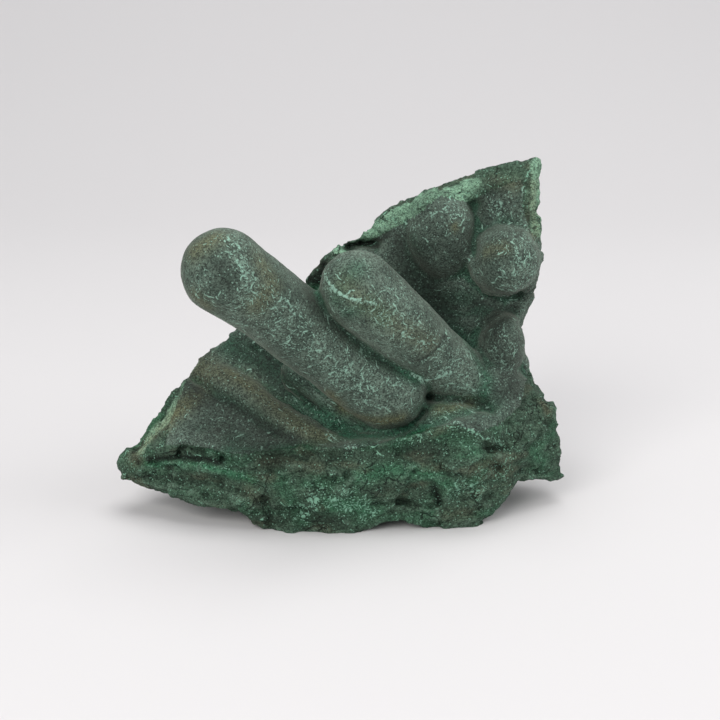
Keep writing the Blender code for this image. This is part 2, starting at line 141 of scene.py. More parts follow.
@dataclass
class Skin:
    """The specimen's mesh object, read and moved as arrays of millimetres."""

    obj: bpy.types.Object

    @classmethod
    def from_bmesh(cls, bm: bmesh.types.BMesh, name: str) -> Skin:
        """A linked object that holds the bmesh, which is freed."""
        mesh = bpy.data.meshes.new(name)
        bm.to_mesh(mesh)
        bm.free()
        obj = bpy.data.objects.new(name, mesh)
        bpy.context.scene.collection.objects.link(obj)
        return cls(obj)

    def points(self) -> np.ndarray:
        """The mesh's points, one a row."""
        flat = np.empty(len(self.obj.data.vertices) * 3, np.float32)
        self.obj.data.vertices.foreach_get("co", flat)
        return flat.reshape(-1, 3).astype(float) / MM

    def normals(self) -> np.ndarray:
        """The outward directions at the mesh's points."""
        flat = np.empty(len(self.obj.data.vertices) * 3, np.float32)
        self.obj.data.vertex_normals.foreach_get("vector", flat)
        return flat.reshape(-1, 3).astype(float)

    def move(self, points: np.ndarray) -> None:
        """Puts the mesh's points at these places."""
        flat = (points * MM).astype(np.float32).ravel()
        self.obj.data.vertices.foreach_set("co", flat)
        self.obj.data.update()
        bpy.context.view_layer.update()

    def bake(self) -> None:
        """Turns the object's modifiers into its mesh."""
        graph = bpy.context.evaluated_depsgraph_get()
        mesh = bpy.data.meshes.new_from_object(self.obj.evaluated_get(graph))
        self.obj.modifiers.clear()
        self.obj.data = mesh
        bpy.context.view_layer.update()

    def fuse(self, voxel: float) -> None:
        """Makes overlapping shapes into one skin of even faces this wide."""
        remesh = self.obj.modifiers.new("Fuse", "REMESH")
        remesh.mode = "VOXEL"
        remesh.voxel_size = voxel * MM
        self.bake()

    def smooth(self, passes: int, share: np.ndarray | None = None) -> None:
        """Evens out the surface.

        Args:
            passes: How many times each point moves towards its neighbours.
            share: How much of the move each point makes, or None for all of it.
        """
        soften = self.obj.modifiers.new("Soften", "SMOOTH")
        soften.iterations = passes
        if share is not None:
            group = self.obj.vertex_groups.new(name="share")
            for index, weight in enumerate(share):
                group.add([index], float(weight), "REPLACE")
            soften.vertex_group = group.name
        self.bake()
        self.obj.vertex_groups.clear()

    def thin(self, triangles: int) -> None:
        """Merges the skin's four-sided faces, the flattest first, down to this many triangles."""
        decimate = self.obj.modifiers.new("Thin", "DECIMATE")
        now = 2 * len(self.obj.data.polygons)
        decimate.ratio = min(triangles / now, 1.0)
        self.bake()

    def cut_flat(self) -> None:
        """Cuts off what reaches below the surface that the specimen rests on."""
        bm = bmesh.new()
        bm.from_mesh(self.obj.data)
        everything = bm.verts[:] + bm.edges[:] + bm.faces[:]
        bmesh.ops.bisect_plane(
            bm, geom=everything, plane_co=(0, 0, 0), plane_no=(0, 0, 1), clear_inner=True
        )
        rim = [edge for edge in bm.edges if edge.is_boundary]
        bmesh.ops.triangle_fill(bm, edges=rim, use_beauty=True, use_dissolve=False)
        bmesh.ops.recalc_face_normals(bm, faces=bm.faces[:])
        bm.to_mesh(self.obj.data)
        bm.free()

    def store(self, name: str, values: np.ndarray) -> None:
        """Keeps one number a point as an attribute that materials read."""
        attribute = self.obj.data.attributes.new(name, "FLOAT", "POINT")
        attribute.data.foreach_set("value", values.astype(np.float32))


@dataclass(frozen=True)
class Sight:
    """A line of sight onto the specimen's front.

    A mark on the front is given as (x, z): where the line from the eye to the mark crosses
    the plane y = 0.
    """

    eye: Place = (4.5, -367.0, 147.5)

    def directions(self, points: np.ndarray) -> np.ndarray:
        """The directions in which the points are seen."""
        ways = points - np.array(self.eye)
        return ways / np.linalg.norm(ways, axis=1)[:, None]

    def marks(self, points: np.ndarray) -> np.ndarray:
        """The marks at which the points are seen."""
        eye = np.array(self.eye)
        reach = -eye[1] / (points[:, 1] - eye[1])
        return (eye + (points - eye) * reach[:, None])[:, (0, 2)]

    def place(self, skin: Skin, mark: Mark) -> np.ndarray:
        """The first place of the skin on the line of sight through the mark, or the nearest."""
        eye = Vector(self.eye)
        way = (Vector((mark[0], 0.0, mark[1])) - eye).normalized()
        hit, place, _, _ = skin.obj.ray_cast(eye * MM, way)
        if not hit:
            _, place, _, _ = skin.obj.closest_point_on_mesh(Vector((mark[0], 0.0, mark[1])) * MM)
        return np.array(place) / MM

    def route(self, skin: Skin, path: Sequence[Mark]) -> list[np.ndarray]:
        """The places of a run of marks."""
        return [self.place(skin, mark) for mark in path]

    def close_route(self, skin: Skin, path: Sequence[Mark], step: float) -> list[np.ndarray]:
        """The places of a run of marks, filled in every step so that it follows the skin."""
        close = [path[0]]
        for start, end in zip(path, path[1:]):
            parts = math.ceil(math.dist(start, end) / step)
            whole = np.array(end) - start
            close += [tuple(start + whole * part / parts) for part in range(1, parts + 1)]
        return self.route(skin, close)


# The forms that the specimen is grown and broken from


@dataclass(frozen=True)
class Finger:
    """A round-ended stalactite, or a rib where it lies half sunk in the lining.

    Its heading at each ring is read between two places, a share `look` before and after it.
    """

    sections: tuple[tuple[Place, float], ...]
    sides: int = 64
    rings: int = 110
    look: float = 0.02

    def add_to(self, bm: bmesh.types.BMesh) -> None:
        """Draws the rings of a sphere out along the sections."""
        middles = [Vector(middle) * MM for middle, _ in self.sections]
        radii = [Vector((radius * MM, 0, 0)) for _, radius in self.sections]
        length = sum((b - a).length for a, b in zip(middles, middles[1:]))
        tip_arc = radii[0].x * math.pi / 2
        root_arc = radii[-1].x * math.pi / 2
        whole = tip_arc + length + root_arc
        made = bmesh.ops.create_uvsphere(
            bm, u_segments=self.sides, v_segments=self.rings, radius=1.0
        )
        for vert in made["verts"]:
            travelled = math.acos(min(max(vert.co.z, -1.0), 1.0)) / math.pi * whole
            turn = math.atan2(vert.co.y, vert.co.x)
            share = min(max((travelled - tip_arc) / length, 0.0), 1.0)
            radius = curve_point(radii, share).x
            middle = curve_point(middles, share)
            ahead = curve_point(middles, share + self.look)
            ahead -= curve_point(middles, share - self.look)
            ahead.normalize()
            across = ahead.cross(Vector((0, 0, 1))).normalized()
            up = across.cross(ahead)
            if travelled < tip_arc:
                middle -= ahead * radius * math.cos(travelled / radius)
                radius *= math.sin(travelled / radius)
            elif travelled > tip_arc + length:
                middle += ahead * radius * math.cos((whole - travelled) / radius)
                radius *= math.sin((whole - travelled) / radius)
            vert.co = middle + (across * math.cos(turn) + up * math.sin(turn)) * radius

    def height_over(self, points: np.ndarray) -> np.ndarray:
        """Each point's rough distance outside the finger."""
        best = np.full(len(points), np.inf)
        for (start, start_radius), (end, end_radius) in zip(self.sections, self.sections[1:]):
            start, along = np.array(start), np.array(end) - np.array(start)
            share = np.clip((points - start) @ along / (along @ along), 0.0, 1.0)
            radius = start_radius + (end_radius - start_radius) * share
            away = np.linalg.norm(points - start - share[:, None] * along, axis=1) - radius
            best = np.minimum(best, away)
        return best


@dataclass(frozen=True)
class Lump:
    """A bun-shaped growth."""

    centre: Place
    half_sizes: Place
    fineness: int = 5

    def add_to(self, bm: bmesh.types.BMesh) -> None:
        """Adds an ellipsoid."""
        place = Matrix.Translation(Vector(self.centre) * MM)
        size = Matrix.Diagonal((*(half * MM for half in self.half_sizes), 1.0))
        bmesh.ops.create_icosphere(
            bm, subdivisions=self.fineness, radius=1.0, matrix=place @ size
        )


@dataclass(frozen=True)
class Block:
    """A convex block of broken rock, given by its corners."""

    corners: tuple[Place, ...]

    def add_to(self, bm: bmesh.types.BMesh) -> None:
        """Adds the corners' convex hull."""
        verts = [bm.verts.new(Vector(corner) * MM) for corner in self.corners]
        hull = bmesh.ops.convex_hull(bm, input=verts)
        inside = [item for item in hull["geom_interior"] if isinstance(item, bmesh.types.BMVert)]
        bmesh.ops.delete(bm, geom=inside, context="VERTS")


@dataclass(frozen=True)
class Groove:
    """A hollow, pit or crack, pressed in along the line of sight; a ridge if below 0 deep.

    Its section is a sharp crest where it is 1 steep, round at 2, and a steep-walled floor at 4.
    """

    path: tuple[Mark, ...]
    width: float
    depth: float
    jag: float = 0.0
    steep: float = 2.0
    jag_size: float = 1.1
    widths_felt: float = 3.0

    def push(self, skin: Skin, sight: Sight, points: np.ndarray) -> np.ndarray:
        """How far in it moves each point."""
        distance = distance_to_path(points, sight.route(skin, self.path))
        if self.jag:
            near = np.flatnonzero(distance < self.widths_felt * (self.width + self.jag))
            waves = [noise.noise(Vector(point)) for point in points[near] / self.jag_size]
            distance[near] = np.maximum(distance[near] + self.jag * np.array(waves), 0.0)
        return self.depth * np.exp(-((distance / self.width) ** self.steep))


@dataclass(frozen=True)
class Facet:
    """A flat place on a finger."""

    place: Place
    outward: Place
    reach: float
    share: float = 0.85

    def level(self, points: np.ndarray) -> np.ndarray:
        """The points, with what stands over the facet's plane brought down to it."""
        outward = np.array(self.outward) / np.linalg.norm(self.outward)
        over = np.maximum((points - self.place) @ outward, 0.0)
        near = np.linalg.norm(points - self.place, axis=1) < self.reach
        return points - outward * (over * near * self.share)[:, None]


# Reliefs: how far the surface stands out at each point


@dataclass(frozen=True)
class Chips:
    """Flat breaks side by side, each at its own height and tilt.

    The two picks set where in the noise a break's tilt and height are read.
    """

    size: float
    step: float
    tilt: float
    stretch: Place = (1.0, 1.0, 1.0)
    lean_pick: float = 3.1
    height_pick: float = 5.3

    def relief(self, points: np.ndarray) -> np.ndarray:
        """How far each point stands out, in millimetres."""
        scaled = points / (np.array(self.stretch) * self.size)
        heights = np.empty(len(points))
        for index, point in enumerate(scaled):
            spot = Vector(point)
            centre = noise.voronoi(spot)[1][0]
            lean = noise.noise_vector(centre * self.lean_pick)
            heights[index] = 2.0 * self.step * noise.noise(centre * self.height_pick)
            heights[index] += self.tilt * lean.dot(spot - centre)
        return heights


@dataclass(frozen=True)
class Beds:
    """Steps along the rock's bedding: a steep riser, then a shelf that falls away.

    They fade out over the last millimetres below the top.
    """

    pitch: float = 4.6
    step: float = 0.4
    dip: Place = (0.10, -0.12, 1.0)
    warp: float = 6.0
    wave: float = 14.0
    top: float = 24.0
    fade: float = 6.0
    riser: float = 0.3
    level: float = 0.4
    decay: float = 1.0
    gap: float = 2.0
    octaves: int = 3

    def relief(self, points: np.ndarray) -> np.ndarray:
        """How far each point stands out, in millimetres."""
        waves = [
            noise.fractal(Vector(point), self.decay, self.gap, self.octaves)
            for point in points / self.wave
        ]
        beds = (points @ np.array(self.dip) + self.warp * np.array(waves)) / self.pitch
        part = beds - np.floor(beds)
        shelf = rise(part / self.riser) * (1.0 - part)
        fading = rise((self.top - points[:, 2]) / self.fade)
        return self.step * (shelf - self.level) * fading


@dataclass(frozen=True)
class Ripple:
    """Soft unevenness, in octaves that get smaller by a gap and lower by a decay."""

    size: float
    height: float
    octaves: int = 3
    decay: float = 0.8
    gap: float = 2.1

    def relief(self, points: np.ndarray) -> np.ndarray:
        """How far each point stands out, in millimetres."""
        scaled = points / self.size
        waves = [
            noise.fractal(Vector(point), self.decay, self.gap, self.octaves) for point in scaled
        ]
        return self.height * np.array(waves)


class Tint(Enum):
    """What a patch of stone is, besides plain lining or plain broken rock; one of them is painted
    shade.
    """

    FRESH = "fresh"
    EMERALD = "emerald"
    OCHRE = "ochre"
    MINT = "mint"
    # painted shade where the stone lies in shadow
    DARK = "dark"
    VEIN = "vein"


@dataclass(frozen=True)
class Dab:
    """A patch or stroke of a tint on the front."""

    path: tuple[Mark, ...]
    width: float
    strength: float = 1.0
    step: float = 1.0
    widths_felt: float = 2.5

    def share(self, skin: Skin, sight: Sight, points: np.ndarray) -> np.ndarray:
        """How much of the tint each point has."""
        route = sight.close_route(skin, self.path, self.step)
        reach = self.widths_felt * self.width
        above = points > np.min(route, axis=0) - reach
        below = points < np.max(route, axis=0) + reach
        near = np.all(above & below, axis=1)
        distance = distance_to_path(points[near], route)
        share = np.zeros(len(points))
        share[near] = self.strength * np.exp(-((distance / self.width) ** 2))
        return share


# The specimen's forms and marks, in millimetres


def rod(*sections: tuple[Place, float]) -> Finger:
    """A finger or rib from its tip on, by its middles and radii."""
    return Finger(sections)


def block(*corners: Place) -> Block:
    """A block with these corners."""
    return Block(corners)


def groove(width: float, depth: float, *path: Mark, jag: float = 0.0, steep: float = 2.0) -> Groove:
    """A groove of this width and depth along a run of marks."""
    return Groove(path, width, depth, jag, steep)


def dab(width: float, strength: float, *path: Mark) -> Dab:
    """A dab of this width and strength along a run of marks."""
    return Dab(path, width, strength)


# The two fingers, from their round ends down.
FINGERS = (
    rod(
        ((-24.1, -21, 61.2), 9.1), ((-16.2, -15.5, 53.6), 8.5), ((-7.8, -10, 45.2), 8.4),
        ((1.6, -5.6, 36.4), 8.5), ((10.6, -3, 29.2), 8.9),
    ),
    rod(
        ((4, -13, 55.4), 8.3), ((13.5, -6.5, 45), 7.9), ((22, -0.5, 36), 7),
        ((28.2, 4.6, 28.4), 7.6),
    ),
)

# Ribs and ridges, half sunk in the cavity's lining.
RIBS = (
    rod(((-9, 0, 32), 4.6), ((-1.4, -0.6, 26.6), 4.4), ((5.4, -1, 22.4), 4.4)),
    rod(
        ((-31, 10.5, 29.6), 2.8), ((-27.4, 4.5, 28.6), 4.4), ((-22, 1, 25.7), 4.8),
        ((-15.8, -3.5, 22.2), 4.8), ((-8.7, -7, 19.6), 4.4), ((-1.9, -9.5, 17), 3.8),
    ),
    rod(((-16, 9, 32), 2.6), ((-5.5, 1, 23.4), 3.6), ((4, -4.5, 16.4), 4.2)),
)

# Bun-shaped growths, each by its middle and its half sizes.
LUMPS = (
    Lump((23.6, 15, 61), (8.4, 8.6, 10.4)),
    Lump((37.4, 9.6, 56.2), (8.3, 9, 7.9)),
    Lump((36.4, 18.6, 66.4), (7.6, 5.2, 7.6)),
    Lump((27.4, 16, 47), (9.6, 6.5, 7.4)),
    Lump((37, 8, 36.6), (5.4, 8, 7.8)),
    Lump((16.6, 17.5, 50.6), (7, 4, 7.4)),
    Lump((24, -3.4, 22), (8.4, 6.4, 5)),
    Lump((35, 3.5, 27.2), (8, 8, 6.4)),
    Lump((20.6, 3.4, 26), (4, 3.8, 3.4)),
    Lump((25.6, -9.4, 15.4), (10.4, 7.4, 6.8)),
    Lump((-4, -12.6, 13.6), (12, 5.6, 4.6)),
    Lump((9, -4.6, 15.8), (12, 7.4, 5.2)),
)

# Broken rock.
BLOCKS = (
    # fin
    block(
        (9, 19.5, 61.6), (10.3, 20, 65.3), (13.3, 21, 67.6), (23, 21, 70.3), (36.6, 19, 74.8),
        (45.6, 16, 79.5), (45.5, 15, 75.2), (44.7, 13.5, 62), (44.9, 12, 49.6), (41, 11, 39.6),
        (17.1, 14.5, 64.3), (23.9, 14.5, 69.6), (40.7, 12, 73.8), (42.6, 12, 75.6), (41.6, 12, 60),
        (8, 14, 56), (-2, 13, 40), (36, 10, 40), (-9, 23, 42), (4, 27, 51), (20, 29, 59),
        (35, 26, 67), (42.5, 21, 69), (43, 20, 50), (40.5, 22, 34), (16, 29.4, 36), (-9, 25, 28),
    ),
    # fin's low end
    block(
        (-8.2, 14, 50.4), (-4.9, 15.5, 53.8), (-0.3, 17, 58.2), (2.2, 17.5, 59.5), (7, 18.5, 61.8),
        (11, 20, 62.2), (2.2, 16, 57), (11, 15, 58), (-2, 13, 40), (12, 13, 44), (-9, 23, 42),
        (4, 27, 50), (12, 27, 53), (-9, 25, 28),
    ),
    # wall
    block(
        (-23.2, 11, 38.4), (-8, 14, 48), (40.2, 10, 44), (43.3, 8, 32.4), (44.4, 5, 26),
        (30, 9, 30), (0, 6, 18), (-18, 8, 18), (-22, 16, 4), (-20, 24, 27), (4, 28, 44),
        (38, 26, 42), (44, 15, 25), (36, 23, 12),
    ),
    # buttress
    block(
        (-6, 22, 34), (22, 24, 48), (34, 26, 30), (24, 29.5, 22), (4, 29.8, 24), (-14, 24, 12),
        (-8, 25, 2), (20, 26, 3), (32, 20, 8), (8, 14, 20),
    ),
    # left flank
    block(
        (-46, 0.5, 17.4), (-40.8, 2, 23.2), (-37.4, 3.4, 26.5), (-35.7, 5, 28.6), (-32, 7, 34),
        (-29.6, 8, 35.5), (-23.2, 10, 39), (-12, 14, 46), (-38, -3, 18), (-27, -6, 17),
        (-8, -6, 17), (0, 2, 20), (-42, 8, 16), (-34, 15, 26), (-26, 20, 30), (-22, 20, 10),
        (-14, 22, 36), (-36, 8, 8),
    ),
    # facet
    block(
        (-41.6, -6, 17.4), (-36, -8.6, 19.3), (-28, -11.2, 18), (-21, -12.8, 17.4),
        (-10, -13.4, 18.6), (-38.2, 2, 25.8), (-34.8, 2.8, 30), (-29.5, -0.5, 27.4),
        (-24.5, -2.6, 25.2), (-20.5, -5.2, 22.6), (-15, -9, 20.2), (-38, 8, 14), (-20, 6, 12),
        (-10, 0, 12),
    ),
    # ledge left
    block(
        (-50.9, -2, 10.8), (-48.4, -1, 13.8), (-50, -3.5, 8.2), (-45, -5, 6.1), (-43, -5.5, 16.7),
        (-35.9, -8, 19.3), (-27.9, -11, 17.6), (-22.2, -13, 17.4), (-19.9, -14.6, 11.7),
        (-31.3, -11.4, 12), (-35.2, -8.4, 6.4), (-27.1, -11.4, 4.2), (-20.2, -13.4, 2.6),
        (-45, 6, 10), (-34, 12, 12), (-20, 12, 3), (-45.4, 0.8, 17.2), (-42, 4, 18),
    ),
    # ledge middle
    block(
        (-22.2, -13, 17.4), (-8.8, -13.6, 19.1), (0.1, -14.4, 19.5), (13.3, -13.4, 20.8),
        (-19.9, -14.6, 11.7), (-8.7, -17.4, 10.5), (2.3, -18.4, 10.9), (13.3, -18, 13.3),
        (-20.6, -14.4, 2.4), (-15, -14.6, -1), (1, -16, -1), (6.7, -15.8, 0.8), (12.3, -15.6, 2.6),
        (17.5, -14.8, 3.6), (18, 4, 18), (-20, 8, 16), (-18, 18, -1), (16, 19, -1),
    ),
    # ledge right
    block(
        (12, -13.4, 20.4), (22.2, -12.6, 23.6), (28.8, -12.4, 22.8), (35.7, -8.6, 24.9),
        (40.6, -3.4, 27.4), (13.3, -18, 13.3), (22.1, -17.4, 12.9), (31.1, -14.6, 11.7),
        (36.9, -11.6, 13), (40.4, -8.6, 16.6), (12.5, -15.4, 3.4), (15.7, -15, 2.4),
        (20.5, -13.6, -1), (29.6, -12.2, -1), (38.4, -9.4, 6.6), (41.2, -5.4, 8.3), (20, 6, 18),
        (42, 8, 24), (40, 10, 7), (30, 16, -1), (14, 17, -1),
    ),
    # lip
    block(
        (-44, -7, 13.6), (-36, -10.4, 13.4), (-27, -13.8, 13.2), (-18, -15.6, 14.2),
        (-43, -6, 16.8), (-35, -8.6, 19.4), (-26, -12, 18.2), (-18, -13.8, 17.6), (-30, 0, 15),
        (-18, -2, 15), (-40, 0, 15),
    ),
    # bed
    block(
        (-47, -5.4, 8.2), (-38, -10.4, 9.4), (-28, -13.8, 9), (-18, -16.2, 7.6), (-38, -9.6, 6.4),
        (-30, -12.4, 5.8), (-20, -15, 3.4), (-40, 0, 7), (-18, -4, 5),
    ),
    # shoulder
    block(
        (40.6, -3.4, 27.4), (44.2, 4, 26.9), (48.5, 3, 23.3), (50.1, 2, 17.4), (49.6, 2, 14.2),
        (51.9, 3, 6.6), (50.2, 3, 6), (46, 0, 6.8), (41.2, -5.4, 8.3), (40.4, -8.6, 16.6),
        (36, -8.4, 24), (44, 16, 26), (48, 13, 19), (48.6, 13, 8), (40, 19, 28), (36, 18, 6),
    ),
)

# The cavity lining's outline; what lies outside it is broken rock.
LINING = (
    (2.5, 61.5), (7, 63), (13.5, 66.5), (18, 69.5), (22, 73), (28.5, 71.5), (34, 74.5),
    (39.5, 76.5), (40.5, 74.5), (40, 71), (42, 65), (46, 62), (46, 50), (43, 36), (41, 24.5),
    (36.5, 20), (32, 18), (26, 20), (18, 18.5), (9, 15), (2, 14), (-9.5, 15), (-23, 12.5),
    (-34.5, 15), (-40, 15), (-39, 20), (-36, 27.5), (-32, 38), (-20, 44), (-6, 50),
)

# Hollows, creases and cracks, and ridges where the depth is below 0.
GROOVES = (
    # broad hollows
    groove(9, 3.6, (10, 55)),
    groove(5, 1.8, (24, 49), (28, 50)),
    groove(8, 1.2, (-24, 20)),
    groove(4, 1.6, (-14, 33.5)),
    groove(3.5, 1.4, (-8, 26)),
    groove(5, 1.2, (22, 16)),
    groove(5, 1.2, (11.5, 13.5)),
    groove(4.5, 1.2, (38, 10)),
    groove(3, 0.8, (-32, 3.5), (-24, 2)),
    groove(1.6, 2.6, (1, 61.5), (4.5, 62.5), (8, 61.5)),
    # pits between the growths
    groove(0.9, 3, (16.8, 20.5), (18, 21.5), (18.9, 22.9)),
    groove(0.7, 1.8, (19.3, 26.3), (22.5, 26)),
    groove(0.9, 3, (1.8, 61.2), (3.4, 62.2), (6, 62.3), (8.2, 62.6)),
    groove(1.4, 2.4, (30, 71)),
    # creases between the growths
    groove(1.4, 1.2, (-5, 51.5), (-3.5, 49), (0, 43.5), (4.5, 39), (10, 35), (17.5, 31.5)),
    groove(1.8, 2.2, (29, 71), (30, 67.5), (30, 64), (30, 61)),
    groove(1.5, 1.6, (30, 61), (31, 55), (33.5, 51), (37, 49.5), (39.5, 50.5)),
    groove(1.5, 1.4, (30.5, 41), (33, 43.5), (36, 46), (39, 46.5)),
    groove(1.2, 1.8, (20.5, 26.5), (25, 26), (32, 25), (34, 23.5)),
    groove(0.8, 1.4, (-4.5, 19.5), (-0.5, 19), (2.5, 19.3), (5.5, 18.5), (9.5, 18.3), jag=0.4),
    groove(1, 1.3, (-19, 38), (-17.5, 37), (-13, 32.5), (-9, 27.5), (-6, 25)),
    groove(1.3, 1.2, (-33, 30.5), (-28.5, 27), (-24.5, 25.3), (-20.5, 22), (-15, 17.5)),
    groove(0.4, 0.7, (23.1, 44.2), (23.6, 41.4), (22.5, 38.6), (19.6, 36.2), (16, 34.6)),
    # raised edges of the finger's cap and of the flank's facet
    groove(0.7, -0.3, (-3.5, 55.5), (-1.5, 52), (1, 50), (4.5, 49), (8, 48.5)),
    groove(
        1.2, -0.7, (-35.6, 28), (-37.5, 23.5), (-39, 20), (-41.5, 16.5), (-43.5, 14.5), jag=0.5,
        steep=1,
    ),
    groove(1, -1.1, (-23, 12), (-16, 13), (-9.5, 14.3), (-2.5, 14.3), jag=0.6, steep=1),
    groove(1.2, 0.9, (-27, 10.8), (-16, 11), (-9.5, 12), (-1, 11.6), jag=0.6, steep=1.5),
    # the ledge's lip, and the crevice and bed under it
    groove(
        1.3, -1.4, (-43.5, 14), (-38, 15.2), (-34.5, 14.4), (-29, 13.2), (-23, 11), (-18, 9.2),
        jag=0.6, steep=1,
    ),
    groove(0.45, 1.3, (-46.1, 10.4), (-43.1, 10.8), (-40.1, 11.4), (-37.3, 12.2), jag=0.5, steep=2),
    groove(
        0.6, 2.4, (-37.3, 12.2), (-36.5, 14.2), (-34.5, 14.1), (-32, 13.6), (-29.9, 13.6),
        (-28.1, 13.3), (-26.8, 11.5), jag=0.5, steep=3,
    ),
    groove(1.5, 1.6, (-35.9, 12.7), (-33.4, 12.3), (-30.7, 12.2), (-28.4, 11.5), jag=0.9, steep=3),
    groove(
        0.5, 1.5, (-27.2, 11.7), (-25.9, 10.4), (-23.8, 9.4), (-21.8, 8.6), (-19.5, 8.7),
        (-18.1, 9.4), jag=0.5, steep=3,
    ),
    groove(0.45, 1.2, (-17.2, 8.9), (-14.4, 9), jag=0.5, steep=3),
    groove(
        0.5, 1.2, (-10.7, 7.3), (-8.9, 5.8), (-6.4, 5.2), (-4.3, 5.8), (-2.4, 6), (-0.5, 6.2),
        (2, 7.8), jag=0.5, steep=3,
    ),
    groove(
        0.9, -0.9, (-46, 9), (-40.5, 10.2), (-32.5, 9.4), (-23, 7.2), (-18.5, 6.4), jag=0.4,
        steep=1,
    ),
    groove(0.9, 0.8, (-43, 7.4), (-34, 7), (-24, 4.4), (-19.5, 1.8), jag=0.6, steep=1.5),
    groove(0.8, -0.7, (-40, 6.2), (-30, 5.2), (-24, 2.4), (-20.5, -0.6), jag=0.4, steep=1),
    groove(1.2, 1, (-19, 7), (-18, 1.5)),
    groove(0.8, 1.8, (-17.5, 2), (-16.5, -1.5), (-16, -5.5)),
    # the ledge's front
    groove(0.45, 1.3, (-2.4, 5.1), (-1, 7.1), (0.1, 8.3), (1.5, 7.1), jag=0.4, steep=3),
    groove(0.4, 1, (12.5, 11.7), (13.2, 13.2), (12.8, 14.7), jag=0.3, steep=3),
    groove(0.4, 1.1, (24.8, 5.1), (27.6, 5.8), (31.3, 5.3), jag=0.4, steep=3),
    groove(
        0.5, 1.4, (10.1, 0.1), (11.9, 1.4), (14.2, 0.4), (19.3, -0.4), (22.1, -0.1), jag=0.4,
        steep=3,
    ),
    groove(0.6, 1.4, (32.9, 14.7), (34.8, 13.4), (38.5, 13.7), jag=0.4, steep=3),
    groove(9, -1, (-7, 1.5)),
    groove(0.6, 1.1, (-13, 6.5), (-9.5, 8.5), (-4.5, 7), (0, 6.5), (2, 8.5)),
    groove(2.2, -0.6, (4.5, 7), (11.5, 9), (20, 7.5), (25.5, 4.5)),
    groove(1.8, 0.5, (7.5, 4), (14, 3.5), (20.5, 3)),
    groove(0.7, 1.6, (7.5, 0.5), (11.5, 0.5), (17, 0), (23, 0.5)),
    groove(1, 2.6, (22, 4), (22.5, 2.5), (23, 0.5)),
    groove(1.3, -1.1, (13, 16), (19.5, 18), (26.5, 20.5), jag=0.5, steep=1),
    groove(1.4, -1.5, (26.5, 20.5), (30.5, 18), (33.5, 16.5), (36.5, 15), jag=0.5, steep=1),
    groove(1.3, -1.1, (36.5, 14), (36, 9), (33.5, 5), (32.5, 1.5), jag=0.5, steep=1),
    groove(1.2, -1, (45.8, 24), (46.8, 16), (47.8, 9), jag=0.5, steep=1),
    groove(1.2, -0.9, (-2.5, 14), (2, 12.8), (6, 13.2), (12.5, 15.4), jag=0.5, steep=1),
    groove(0.9, 2.8, (33, 13.8), (35.5, 14.4), (37.5, 14), jag=0.8),
    groove(0.8, 1.8, (31.5, 23), (34.5, 23)),
    groove(1.2, 0.9, (36.5, 15), (39, 16.5), (40.5, 13.5), (37, 9), (33, 4)),
)

